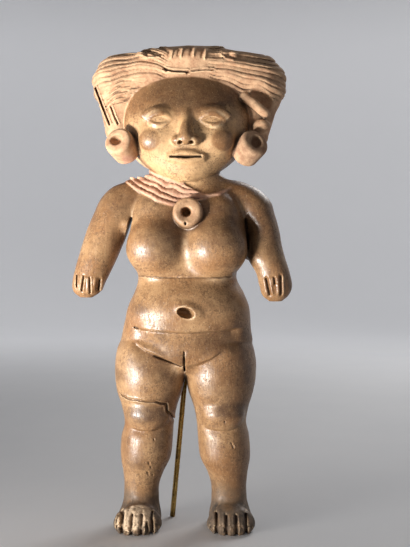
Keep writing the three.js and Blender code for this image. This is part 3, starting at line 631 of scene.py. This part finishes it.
def hair(clay):
    """The hair band rolls over the brow from lobe to lobe, and a lock hangs from each behind the ear."""
    clay.add(thread(
        [(-27, 4, 184.6), (-11, -0.5, 189.2), (1.5, -2.2, 190.4), (14, -0.5, 189.4), (30, 4, 184.6)],
        [BAND_LOBE - 0.6, BAND_MIDDLE + 0.8, BAND_MIDDLE, BAND_MIDDLE + 0.8, BAND_LOBE]), 2)
    clay.add(ball((0.5, 6, 176), (31, 11.5, 22)), 4)
    clay.add(bar((-27, 4, 184), (-28.4, 3, 165), 11, 5.3), 3)
    clay.add(bar((30, 4, 183), (30, 3, 162.5), 11.5, 5.2), 3)
    clay.add(ball((0, 9, 160), (24, 7.5, 14)), 4)


def face_window(clay):
    clay.cut(sliced(ball((HEAD_X, -20, 162), (27.5, 30, 22.6)), (0, -9, 0), (0, 1, 0)), 1)


def crest(clay):
    """The tied middle of the band, with nicks across it, and the small leaves pressed on at its sides."""
    clay.add(ball((1.2, -6.2, 192.8), (12.5, 5.4, 4.7)), 1.5)
    for x, tilt in ((-17.4, 18), (-13.2, -12), (-8.6, 10), (11, 14), (16.2, -20), (20, 12)):
        clay.add(ball((x, -6.6, 193.8), (2.3, 2.4, 1.6), (0, tilt, 0)), 0.5)
    clay.ridge([(-17.6, 193.6), (-15, 192.4), (-10.4, 192.6), (-8.2, 193.2)], 0.8, 0.7)
    clay.ridge([(14.6, 194), (17, 192.4), (20.4, 191.4)], 0.8, 0.7)
    for x, top, low in ((-4.6, 195.5, 191.6), (-0.6, 196.4, 191.8), (4.4, 196.6, 192), (9, 196.4, 191.2)):
        clay.ridge([(x, top), (x - 0.7, low)], 0.6, 0.7)
        clay.scratch([(x - 1.4, top - 0.4), (x - 2, low + 0.6)], 0.8, 0.5)
    clay.scratch([(-8.5, 187.8), (-4.6, 186.9), (0, 186.7), (2.2, 186.6)], 0.5, 1.3, 2, 0.4)
    clay.scratch([(2.6, 186.9), (7, 187.5), (12.5, 187.5)], 0.42, 0.8, 2, 0.4)
    clay.cut(ball((-7.6, -11.6, 187.5), (1.5, 3, 0.8), (0, 25, 0)), 0.3)
    clay.cut(ball((1.2, -11.6, 186), (0.7, 2.4, 1.1)), 0.3)


def loops(clay):
    """The open loop in the lock on the viewer's right, and the slits in the one on the left."""
    clay.cut(ball((32.4, -9, 176), (6.2, 8, 3.5), (0, 33, 0)), 0.8)
    clay.add(thread([(24.6, -7, 177), (28.4, -8.2, 174), (33, -6.2, 170.4)], 1.9), 1)
    clay.add(ball((31.8, -4, 165.4), (3.8, 4.4, 3.2)), 0.8)
    clay.scratch([(-37.4, 182.6), (-34.4, 174.5), (-31.2, 166.5)], 0.55, 1.4, 2, 0.4)
    clay.scratch([(-30.6, 174), (-29.2, 170), (-27.6, 166.5)], 0.5, 1, 2, 0.4)
    for n in range(5):
        clay.scratch([(-34 + n, 171 + 2.6 * n), (-30 + n, 174.6 + 2.2 * n), (-25 + n, 175.6 + 2 * n)],
                     0.5, 0.5, 2, 0.4)


def strand_line(x, z):
    """Where among the combed strands of the band a place is, and how far out to the side of its middle."""
    out = abs(x - 1.2)
    rise = 187.2 + 0.35 * (out - 9) - 0.0125 * (out - 9) ** 2
    drop = 189.4 - 0.21 * out
    middle = np.where(x < 1.2, rise, drop)
    return (z - middle) / (5 + 0.3 * out), out


def strands(clay):
    """The locks of the band as broad ridges, with fine comb lines along them."""

    def relief(x, y, z):
        place, out = strand_line(x, z)
        grown = smooth((out - 6) / 6)
        waver = noise(x, 0 * y, z, 6, 3)
        locks = 0.35 * np.cos(2 * math.pi * (2.2 * place + 0.15 * waver))
        comb = np.maximum(0, np.cos(2 * math.pi * (6.6 * place + 0.5 * waver))) ** 2
        return grown * (locks - (0.5 + 0.3 * waver) * comb) * smooth((8 - y) / 6)

    clay.emboss((-42, -22, 176), (45, 8, 201), relief)


def ear_spools(clay):
    clay.add(drum((-25.2, -8.5, 156.4), (-0.36, -0.86, 0.36), SPOOL_RADIUS, 5.4, 1.6), 0.6)
    clay.add(drum((26.6, -8.5, 155.6), (0.42, -0.82, 0.4), SPOOL_RADIUS, 5.4, 1.6), 0.6)
    clay.cut(ball((-27.5, -14, 158.6), (2.6, 5, 2.2)), 0.8)
    clay.cut(ball((29, -13.5, 157.8), (2.4, 5, 2.7)), 0.8)


NECKLACE = line([(-22, 148), (-17, 143.8), (-9, 139.2), (0, 136.2), (8, 135.8), (14, 137), (19, 140)])


def necklace_at(x, z):
    """How much necklace is at a place on the front, and how far off its middle line and along it that is."""
    off, along = NECKLACE(x, z)
    half = 6.2 - 5.1 * smooth((along - 20) / 17)
    return smooth((half - abs(off)) / 0.9) * smooth((48 - along) / 8), off, along


def necklace(clay):
    """Five strands lie over the viewer's left shoulder, down to the pendant, and end in one on the right."""

    def relief(x, y, z):
        there, off, along = necklace_at(x, z)
        waver = noise(x, 0 * y, z, 4, 5)
        across = (off + 0.7 * waver) / 2.3
        strand = 1 - (2 * abs(across - np.round(across))) ** 2.5
        twist = 0.05 * np.cos(2 * math.pi * (along / 1.9 + 0.5 * off + 0.8 * waver))
        height = 0.95 - 0.4 * smooth((along - 26) / 14)
        return there * (height * (0.15 + 0.85 * strand) + twist + 0.15 * waver) * smooth((9 - y) / 6)

    clay.emboss((-25, -20, 126), (24, 9, 152), relief)


PENDANT = (1.5, 128.9)


def pendant(clay):
    """The pierced disc on the chest, with a thick rounded rim and two pinholes."""
    x, z = PENDANT
    clay.add(drum((x, -12.6, z), (0, -0.97, 0.2), PENDANT_RADIUS, 3.4, 1.6), 0.5)
    clay.cut(ball((x - 0.2, -17.6, z + 0.3), (4.1, 2.2, 3.8)), 1.2)
    clay.cut(ball((x - 0.6, -16.6, z + 0.4), (2.2, 6.5, 2.1)), 0.5)
    clay.cut(ball((x, -17.4, z + 4.9), (1.5, 2.6, 1)), 0.3)
    clay.cut(ball((x - 0.9, -16.4, z - 4.4), (0.45, 2, 0.7)), 0.2)


def back(clay):
    """The plain back: a shallow spine, and the cleft below it."""
    clay.cut(thread([(1, 15.5, ARMPIT + 4), (1, 12.4, WAIST + 2), (0.8, 15.6, BELLY_FOLD + 3)], 2.4), 3)
    clay.cut(thread([(0.5, 19.2, BELLY_FOLD), (0.4, 20.4, HIP - 2), (0.4, 17, THIGH)], 2.2), 2)


def rod_hole(clay):
    top = np.array(ROD_TOP) + ROD_GAP * np.array((0.09, -0.05, 0.99))
    clay.cut(bar(ROD_TIP, tuple(top), ROD_DIAMETER / 2 + ROD_GAP), 0.2)


def crack(clay):
    """The old break across the viewer's left leg, above the knee and down its inner side."""
    clay.scratch([(-26.2, 55), (-22.6, 53.6), (-19.2, 53.4), (-14.8, 52.8), (-11.8, 52.9), (-9.6, 52),
                  (-7.4, 51.6), (-7.2, 48.6), (-5.8, 46.8), (-4.6, 43.4)], 0.5, 0.7, 8, 0.4)


FOOT_CHIP = ball((-19.4, -15, 7), (8.2, 9, 4.6), (0, -22, 0))
TOE_GAPS = ((-25.4, 9, 3.4, 1.3), (-14.8, 5.5, 0.8, 0.7), (-12.6, 5.8, 0.6, 0.6))


def chip_at(x, y, z):
    """How much of the pale break across the toes of the viewer's left foot is at a place."""
    ragged = 1.2 * noise(x, y, z, 2.2, 7) + 0.5 * noise(x, y, z, 0.9, 8)
    return smooth(0.5 - (FOOT_CHIP.distance(x, y, z) + ragged) / 0.8) * smooth((-8 - y) / 1.5)


def chips(clay):
    """The toes broken off the viewer's left foot, and small pits and nicks on the shins."""

    def broken(x, y, z):
        rough = 0.7 + 0.3 * noise(x, y, z, 1.5, 9) + 0.15 * noise(x, y, z, 0.8, 10)
        return -rough * chip_at(x, y, z)

    clay.emboss((-31, -24, -1), (-7, -6, 14), broken)
    for x, top, low, half in TOE_GAPS:
        clay.scratch([(x, top), (x + 0.3, low)], half, 1.2, -9, 0.2)
    pits = ((-14.4, 27.4, 0.55), (-13.7, 25.6, 0.4), (-14.9, 23, 0.6), (-13.2, 22, 0.4), (-10.8, 23.4, 0.45),
            (-12.4, 37, 0.35), (19.8, 34, 0.5), (19.2, 35.4, 0.4), (16.4, 44.6, 0.4))
    for x, z, size in pits:
        clay.scratch([(x - 0.4 * size, z + size), (x + 0.4 * size, z - size)], size, 0.6, -4, 0.3)


def figure_clay():
    clay = Clay((-50, -30, -3), (50, 26, 203), GRID_STEP)
    torso(clay)
    for side in (-1, 1):
        leg(clay, side)
        foot(clay, side)
    buttocks(clay)
    belly(clay)
    bust(clay)
    arms(clay)
    armpits(clay)
    necklace(clay)
    hair(clay)
    face_window(clay)
    crest(clay)
    strands(clay)
    loops(clay)
    head(clay)
    face(clay)
    ear_spools(clay)
    pendant(clay)
    navel(clay)
    folds(clay)
    fingers(clay)
    for side in (-1, 1):
        toes(clay, side)
    back(clay)
    rod_hole(clay)
    crack(clay)
    chips(clay)
    clay.stand_on(0)
    return clay


def hair_clay():
    """The unburnished parts alone: the hair with its band, and the ear spools."""
    clay = Clay((-50, -30, 140), (50, 26, 203), 2 * GRID_STEP)
    hair(clay)
    face_window(clay)
    crest(clay)
    loops(clay)
    ear_spools(clay)
    return clay


def thinned(mesh, wanted):
    """The same mesh with about so many triangles, the most where it is finest."""
    holder = bpy.data.objects.new("thinning", mesh)
    bpy.context.scene.collection.objects.link(holder)
    modifier = holder.modifiers.new("thin", "DECIMATE")
    modifier.ratio = min(1, wanted / (2 * len(mesh.polygons)))
    modifier.use_collapse_triangulate = True
    evaluated = holder.evaluated_get(bpy.context.evaluated_depsgraph_get())
    result = bpy.data.meshes.new_from_object(evaluated)
    bpy.data.objects.remove(holder)
    return result


def outer_skin(points, quads):
    """Drops the small sealed pockets under the surface, and keeps the one body that stands on the ground."""
    label = np.arange(len(points))
    pairs = np.concatenate([quads[:, [n, (n + 1) % 4]] for n in range(4)])
    while True:
        before = label.copy()
        low = np.minimum(label[pairs[:, 0]], label[pairs[:, 1]])
        np.minimum.at(label, pairs[:, 0], low)
        np.minimum.at(label, pairs[:, 1], low)
        for _ in range(4):
            label = label[label]
        if (label == before).all():
            break
    kept = label == label[points[:, 2].argmin()]
    index = np.cumsum(kept) - 1
    return points[kept], index[quads[kept[quads[:, 0]]]]


# Dark clouds, as (x, z, half-width, half-height, strength). Those on the knees are marks of the firing
# and handling; the rest are painted shade: upper chest, forehead, under the folds, the right-hand side.
CLOUDS_AND_SHADE = (
    (-14.5, 47.6, 7.6, 3.4, 0.8),
    (19.4, 49.5, 6.4, 3.2, 0.75),
    (-12, 69, 11, 7, 0.35),
    (16, 77, 12, 5, 0.4),
    (-7, 119, 8, 9, 0.6),
    (14, 126, 9, 7, 0.5),
    (-22, 134, 12, 6, 0.35),
    (6, 178, 20, 8, 0.5),
    (30, 122, 8, 16, 0.3),
    (17, 60, 10, 8, 0.25),
    (27, 156, 8, 7, 0.8),
    (36, 186, 8, 8, 0.4),
)


def marks(clay, p, slope):
    """What each place of the surface is, and where shade is painted on it: a set of values from 0 to 1, by name."""
    x, y, z = p.T
    normal = slope / np.linalg.norm(slope, axis=1, keepdims=True)
    front = smooth(0.5 - normal[:, 1] * 2)
    ragged = noise(x, y, z, 3, 21) + 0.5 * noise(x, y, z, 1.2, 22)
    hair_value = hair_clay().at(p)[0]
    cord = necklace_at(x, z)[0] * smooth((6 - y) / 4) * (z > 126) * (z < 152) * (abs(x) < 25)
    disc = np.hypot(x - PENDANT[0], z - PENDANT[1])
    cord *= smooth((disc - PENDANT_RADIUS) / 0.4)
    cord *= smooth((head_form().distance(x, y, z) - 0.3) / 0.6)
    low = noise(x, y, z, 9, 23)
    soil = smooth((20 + 4 * low + 1.5 * ragged - z) / 10)
    bare_face = smooth((2 - head_form().distance(x, y, z)) / 0.5) * smooth((-5 - y) / 3)
    # The clouds above on front-facing clay, partly firing marks and partly painted shade, with random blotches.
    smoke_and_shade = np.zeros(len(p))
    for cx, cz, wide, high, strength in CLOUDS_AND_SHADE:
        reach = np.hypot((x - cx) / wide, (z - cz) / high) + 0.18 * ragged
        smoke_and_shade = np.maximum(smoke_and_shade, strength * front * smooth(1.6 - reach))
    smoke_and_shade = np.maximum(smoke_and_shade, 0.5 * smooth(low * 1.6 - 0.35))
    # Painted shade: how deep each place lies in a hollow, crease or gap, from the clay at three reaches out.
    hollow = np.zeros(len(p))
    for reach, weight in ((0.7, 0.35), (1.6, 0.4), (4, 0.35)):
        outside = clay.at(p + normal * reach)[0]
        hollow += weight * np.clip(1 - outside / reach - 0.06, 0, 1)
    inside = clay.at(p - normal * 0.8)[0]
    edge = np.clip(1 + inside / 0.8 - 0.1, 0, 1)
    return {
        "bare": np.maximum(smooth((0.9 - hair_value + 0.15 * ragged) / 0.8) * (z > 141),
                           0.6 * smooth((PENDANT_RADIUS + 0.3 - disc) / 0.5) * smooth(-13 - y)),
        "cord": cord,
        "soil": soil,
        "pale": bare_face * smooth((173 + 2 * ragged + 3 * low - z) / 9),
        "chip": chip_at(x, y, z) * (z < 16),
        "smoke_and_shade": smoke_and_shade,
        "hollow": np.clip(hollow, 0, 1),
        "edge": edge,
    }


def build_figure():
    clay = figure_clay()
    points, quads = outer_skin(*clay.surface())
    mesh = bpy.data.meshes.new("clay")
    mesh.from_pydata(points.tolist(), [], quads.tolist())
    mesh = thinned(mesh, CLAY_TRIANGLES)
    mesh.name = "clay_statuette"
    co = np.empty(3 * len(mesh.vertices), np.float32)
    mesh.vertices.foreach_get("co", co)
    drawn = co.reshape(-1, 3).astype(float)
    slope = clay.at(drawn)[1]
    for name, values in marks(clay, drawn, slope).items():
        attribute = mesh.attributes.new(name, "FLOAT", "POINT")
        attribute.data.foreach_set("value", values.astype(np.float32))
    normal = slope / np.linalg.norm(slope, axis=1, keepdims=True)
    x, y, z = drawn.T
    uneven = 0.16 * noise(x, y, z, 11, 1) + 0.07 * noise(x, y, z, 4, 2)
    shaped = drawn + normal * (uneven * smooth((z - 0.2) / 3))[:, None]
    placed = (shaped - (MIDDLE[0], MIDDLE[1], 0)) * UNIT
    mesh.vertices.foreach_set("co", placed.astype(np.float32).ravel())
    mesh.polygons.foreach_set("use_smooth", np.ones(len(mesh.polygons), bool))
    mesh.update()
    piece = bpy.data.objects.new("clay_statuette", mesh)
    bpy.context.scene.collection.objects.link(piece)
    return piece


def build_rod():
    """The smooth brass rod, with a small chamfer at its cut end."""
    tip, top = in_frame(ROD_TIP), in_frame(ROD_TOP)
    radius = ROD_DIAMETER / 2 * UNIT
    chamfer = 0.15 * UNIT
    across = (top - tip).normalized()
    side = across.orthogonal().normalized()
    other = across.cross(side)
    rings = [(tip, radius - chamfer), (tip + across * chamfer, radius),
             (top - across * chamfer, radius), (top, radius - chamfer)]
    count = 48
    verts = [centre + (side * math.cos(a) + other * math.sin(a)) * r
             for centre, r in rings for a in (2 * math.pi * n / count for n in range(count))]
    faces = [(r * count + n, r * count + (n + 1) % count, (r + 1) * count + (n + 1) % count, (r + 1) * count + n)
             for r in range(len(rings) - 1) for n in range(count)]
    faces += [tuple(range(count))[::-1], tuple(range((len(rings) - 1) * count, len(rings) * count))]
    mesh = bpy.data.meshes.new("brass_rod")
    mesh.from_pydata([tuple(v) for v in verts], [], faces)
    for polygon in mesh.polygons:
        polygon.use_smooth = len(polygon.vertices) == 4
    piece = bpy.data.objects.new("brass_rod", mesh)
    bpy.context.scene.collection.objects.link(piece)
    return piece


def srgb(red, green, blue):
    """A colour as the eye names it, 0 to 255, as the light that the shader reckons with."""
    return tuple(((c / 255 + 0.055) / 1.055) ** 2.4 if c > 10 else c / 3294.6 for c in (red, green, blue)) + (1,)


class Graph:
    """The nodes of a material, and short calls that add one and give its output."""

    def __init__(self, name):
        self.material = bpy.data.materials.new(name)
        self.material.use_nodes = True
        self.tree = self.material.node_tree
        self.shader = self.tree.nodes["Principled BSDF"]
        self.place = self.tree.nodes.new("ShaderNodeTexCoord").outputs["Object"]

    def put(self, value, socket):
        if isinstance(value, bpy.types.NodeSocket):
            self.tree.links.new(value, socket)
        else:
            socket.default_value = value

    def stretched(self, x, y, z):
        node = self.tree.nodes.new("ShaderNodeMapping")
        self.put(self.place, node.inputs["Vector"])
        node.inputs["Scale"].default_value = (x, y, z)
        return node.outputs["Vector"]

    def noise(self, size_mm, detail=3, roughness=0.55, vector=None):
        """Noise from 0 to 1 with blobs of about that size."""
        node = self.tree.nodes.new("ShaderNodeTexNoise")
        self.put(vector or self.place, node.inputs["Vector"])
        node.inputs["Scale"].default_value = 1 / (size_mm * 0.001)
        node.inputs["Detail"].default_value = detail
        node.inputs["Roughness"].default_value = roughness
        return node.outputs["Fac"]

    def specks(self, size_mm):
        """How far a place is from the nearest of scattered points that far apart: 0 on it."""
        node = self.tree.nodes.new("ShaderNodeTexVoronoi")
        self.put(self.place, node.inputs["Vector"])
        node.inputs["Scale"].default_value = 1 / (size_mm * 0.001)
        return node.outputs["Distance"]

    def mark(self, name):
        node = self.tree.nodes.new("ShaderNodeAttribute")
        node.attribute_name = name
        return node.outputs["Fac"]

    def spread(self, value, low, high, to_low=0.0, to_high=1.0):
        """Maps low to to_low and high to to_high, smoothly, and holds beyond them."""
        node = self.tree.nodes.new("ShaderNodeMapRange")
        node.interpolation_type = "SMOOTHSTEP"
        for socket, given in zip(node.inputs, (value, low, high, to_low, to_high)):
            self.put(given, socket)
        return node.outputs["Result"]

    def math(self, operation, a, b=0.0):
        node = self.tree.nodes.new("ShaderNodeMath")
        node.operation = operation
        self.put(a, node.inputs[0])
        self.put(b, node.inputs[1])
        return node.outputs["Value"]

    def mix(self, amount, a, b):
        node = self.tree.nodes.new("ShaderNodeMix")
        node.data_type = "RGBA"
        self.put(amount, node.inputs["Factor"])
        self.put(a, node.inputs[6])
        self.put(b, node.inputs[7])
        return node.outputs[2]

    def bump(self, height, distance_mm, strength=1.0):
        node = self.tree.nodes.new("ShaderNodeBump")
        node.inputs["Strength"].default_value = strength
        node.inputs["Distance"].default_value = distance_mm * 0.001
        self.put(height, node.inputs["Height"])
        self.put(node.outputs["Normal"], self.shader.inputs["Normal"])


def terracotta():
    """Burnished buff clay, with its unburnished pinkish hair and cords, dark specks, grime on the feet, worn edges,
    dark clouds that are partly painted shade, and painted shade in the hollows.
    """
    g = Graph("burnished_terracotta")
    broad, middle = g.noise(17, 3), g.noise(3.2, 5, 0.65)
    mottle, grain, fine = g.noise(0.95, 4, 0.7), g.noise(0.5, 3, 0.6), g.noise(0.22, 2)
    strokes = g.noise(0.55, 2, 0.5, g.stretched(1, 1, 0.12))

    body = g.mix(g.spread(broad, 0.36, 0.66), srgb(132, 94, 60), srgb(158, 124, 88))
    body = g.mix(g.spread(middle, 0.4, 0.7, 0, 0.55), body, srgb(104, 72, 46))
    body = g.mix(g.spread(strokes, 0.48, 0.75, 0, 0.3), body, srgb(186, 152, 110))
    # The dark clouds darken the burnished clay: partly its own firing marks, partly painted shade.
    cloud_and_shade_tint = g.math("MULTIPLY", g.mark("smoke_and_shade"), g.spread(middle, 0.25, 0.6, 0.6, 1))
    body = g.mix(cloud_and_shade_tint, body, srgb(72, 52, 37))
    body = g.mix(g.math("MULTIPLY", g.mark("pale"), g.spread(middle, 0.35, 0.65, 1, 0.7)), body, srgb(192, 154, 110))
    patches = g.spread(g.noise(8, 3), 0.36, 0.6, 0.3, 1)
    crumbs = g.math("MULTIPLY", g.spread(mottle, 0.5, 0.6), patches)
    body = g.mix(g.math("MULTIPLY", crumbs, 0.6), body, srgb(84, 55, 34))
    dots = g.math("MULTIPLY", g.spread(g.specks(1.1), 0.3, 0.16), patches)
    body = g.mix(g.math("MULTIPLY", dots, 0.45), body, srgb(66, 42, 27))
    body = g.mix(g.spread(grain, 0.58, 0.72, 0, 0.45), body, srgb(206, 172, 128))

    raw = g.mix(g.spread(middle, 0.35, 0.7), srgb(200, 163, 127), srgb(172, 129, 97))
    raw = g.mix(g.spread(mottle, 0.52, 0.68, 0, 0.45), raw, srgb(128, 92, 68))
    raw = g.mix(g.spread(grain, 0.6, 0.75, 0, 0.4), raw, srgb(222, 190, 154))
    # Painted shade, with some random blotches: the same clouds darken the raw ear spool and hair on the right.
    raw = g.mix(g.math("MULTIPLY", cloud_and_shade_tint, 0.7), raw, srgb(96, 70, 52))
    cord = g.mix(g.spread(middle, 0.35, 0.7), srgb(202, 160, 132), srgb(166, 120, 96))
    soil = g.mix(g.spread(middle, 0.3, 0.7), srgb(56, 47, 39), srgb(104, 86, 68))
    pale = g.mix(g.spread(grain, 0.4, 0.7), srgb(206, 182, 152), srgb(160, 132, 106))

    colour = g.mix(g.mark("bare"), body, raw)
    colour = g.mix(g.mark("cord"), colour, cord)
    dirty = g.math("MULTIPLY", g.mark("soil"), g.spread(g.noise(2.4, 4), 0.3, 0.55, 0.55, 1))
    colour = g.mix(dirty, colour, soil)
    colour = g.mix(g.mark("chip"), colour, pale)
    worn = g.math("MULTIPLY", g.spread(g.mark("edge"), 0.12, 0.5), g.spread(middle, 0.35, 0.6))
    colour = g.mix(g.math("MULTIPLY", worn, 0.6), colour, srgb(216, 186, 148))
    # Painted shade: the hollows, creases and gaps darkened towards deep brown.
    colour = g.mix(g.spread(g.mark("hollow"), 0.2, 1, 0, 0.75), colour, srgb(62, 42, 30))
    g.put(colour, g.shader.inputs["Base Color"])

    matt = g.math("MAXIMUM", g.math("MAXIMUM", g.mark("bare"), g.mark("cord")),
                  g.math("MAXIMUM", dirty, g.mark("chip")))
    matt = g.math("MAXIMUM", matt, g.math("MULTIPLY", g.mark("pale"), 0.75))
    gloss = g.math("ADD", g.spread(strokes, 0.3, 0.7, 0.28, 0.44), g.math("MULTIPLY", crumbs, 0.22))
    g.put(g.math("MAXIMUM", gloss, g.math("MULTIPLY", matt, 0.88)), g.shader.inputs["Roughness"])
    g.shader.inputs["Specular IOR Level"].default_value = 0.55
    pits = g.spread(g.specks(1.7), 0.16, 0.06)
    coarse = g.math("MULTIPLY", mottle, g.spread(matt, 0, 1, 0.3, 1))
    height = g.math("SUBTRACT", g.math("ADD", coarse, g.math("MULTIPLY", fine, 0.25)), pits)
    height = g.math("ADD", height, g.math("MULTIPLY", strokes, 0.5))
    g.bump(height, 0.14, 0.8)
    return g.material


def brass():
    """Drawn brass wire with lengthwise streaks, dulled brown in places."""
    g = Graph("brass")
    streaks = g.noise(0.25, 2, 0.5, g.stretched(1, 1, 0.03))
    stain = g.noise(4, 4)
    colour = g.mix(g.spread(streaks, 0.35, 0.7), srgb(196, 164, 96), srgb(150, 118, 60))
    colour = g.mix(g.spread(stain, 0.5, 0.72, 0, 0.8), colour, srgb(84, 62, 34))
    g.put(colour, g.shader.inputs["Base Color"])
    g.shader.inputs["Metallic"].default_value = 1
    g.put(g.spread(stain, 0.4, 0.7, 0.24, 0.5), g.shader.inputs["Roughness"])
    g.bump(streaks, 0.02, 0.4)
    return g.material


def pale_floor():
    """Plain pale paper, which glows a little on the lower wall so that the wall reads as lit."""
    g = Graph("pale_floor")
    g.put(g.mix(g.noise(60, 4), srgb(222, 222, 223), srgb(230, 229, 229)), g.shader.inputs["Base Color"])
    g.shader.inputs["Roughness"].default_value = 0.7
    g.shader.inputs["Emission Color"].default_value = srgb(205, 206, 210)
    away = g.tree.nodes.new("ShaderNodeVectorMath")
    away.operation = "LENGTH"
    g.put(g.place, away.inputs[0])
    parts = g.tree.nodes.new("ShaderNodeSeparateXYZ")
    g.put(g.place, parts.inputs["Vector"])
    rise = g.math("MULTIPLY", g.spread(away.outputs["Value"], 0.3, 1.0), g.spread(parts.outputs["Y"], -0.9, 0.4, 0.35, 1))
    fade = g.spread(parts.outputs["Z"], 0.6, 1.2, 0.46, 0.02)
    g.put(g.math("MULTIPLY", rise, fade), g.shader.inputs["Emission Strength"])
    return g.material


def build_stage():
    """A pale floor that turns up all round into one smooth wall."""
    rings = [(0.4, 0), (1.0, 0)]
    rings += [(1.0 + 0.7 * math.sin(a), 0.7 - 0.7 * math.cos(a)) for a in np.linspace(0.1, math.pi / 2, 16)]
    rings += [(1.7, 1.4), (1.7, 2.2)]
    count = 64
    verts = [(r * math.cos(a), r * math.sin(a), z) for r, z in rings
             for a in (2 * math.pi * n / count for n in range(count))]
    faces = [(r * count + n, (r + 1) * count + n, (r + 1) * count + (n + 1) % count, r * count + (n + 1) % count)
             for r in range(len(rings) - 1) for n in range(count)]
    faces.append(tuple(range(count)))
    mesh = bpy.data.meshes.new("floor")
    mesh.from_pydata(verts, [], faces)
    mesh.polygons.foreach_set("use_smooth", np.ones(len(mesh.polygons), bool))
    floor = bpy.data.objects.new("floor", mesh)
    floor.data.materials.append(pale_floor())
    bpy.context.scene.collection.objects.link(floor)


def softbox(name, place, target, size, watts, colour=(1, 1, 1), spread=180):
    light = bpy.data.lights.new(name, "AREA")
    light.shape = "RECTANGLE"
    light.spread = math.radians(spread)
    light.size, light.size_y = size
    light.energy = watts
    light.color = colour
    lamp = bpy.data.objects.new(name, light)
    lamp.location = place
    lamp.rotation_euler = (Vector(target) - Vector(place)).to_track_quat("-Z", "Y").to_euler()
    lamp.visible_camera = False
    bpy.context.scene.collection.objects.link(lamp)
    return lamp


def build_lights():
    """A soft key light, low on the viewer's left, and weaker ones above and behind for the other sides."""
    softbox("key", (-0.25, -0.2, 0.02), (0, 0, 0.15), (0.14, 0.03), 0.75, (1, 0.97, 0.93), 84)
    softbox("back", (0.35, 0.5, 0.6), (0, 0, 0.1), (0.35, 0.35), 2.2)
    world = bpy.data.worlds.new("soft_light")
    world.use_nodes = True
    world.node_tree.nodes["Background"].inputs["Color"].default_value = (0.8, 0.83, 0.87, 1)
    world.node_tree.nodes["Background"].inputs["Strength"].default_value = 0.05
    bpy.context.scene.world = world
    bpy.context.scene.view_settings.view_transform = "Standard"


CAMERA_HEIGHT = 104.6
CAMERA_AWAY = 335
CAMERA_SIDE = 8.4
FOCAL_PIXELS = 800


def build_camera():
    data = bpy.data.cameras.new("camera")
    data.sensor_width = 36
    data.lens = data.sensor_width * FOCAL_PIXELS / 547
    data.clip_start = 0.01
    camera = bpy.data.objects.new("camera", data)
    camera.location = in_frame((CAMERA_SIDE, -CAMERA_AWAY, CAMERA_HEIGHT))
    camera.rotation_euler = (math.pi / 2, 0, 0)
    bpy.context.scene.collection.objects.link(camera)
    bpy.context.scene.camera = camera


figure = build_figure()
figure.data.materials.append(terracotta())
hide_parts("clay_figure")
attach(figure, "root")

rod = build_rod()
rod.data.materials.append(brass())
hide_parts("support_rod")
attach(rod, "root")

build_stage()
build_lights()
build_camera()
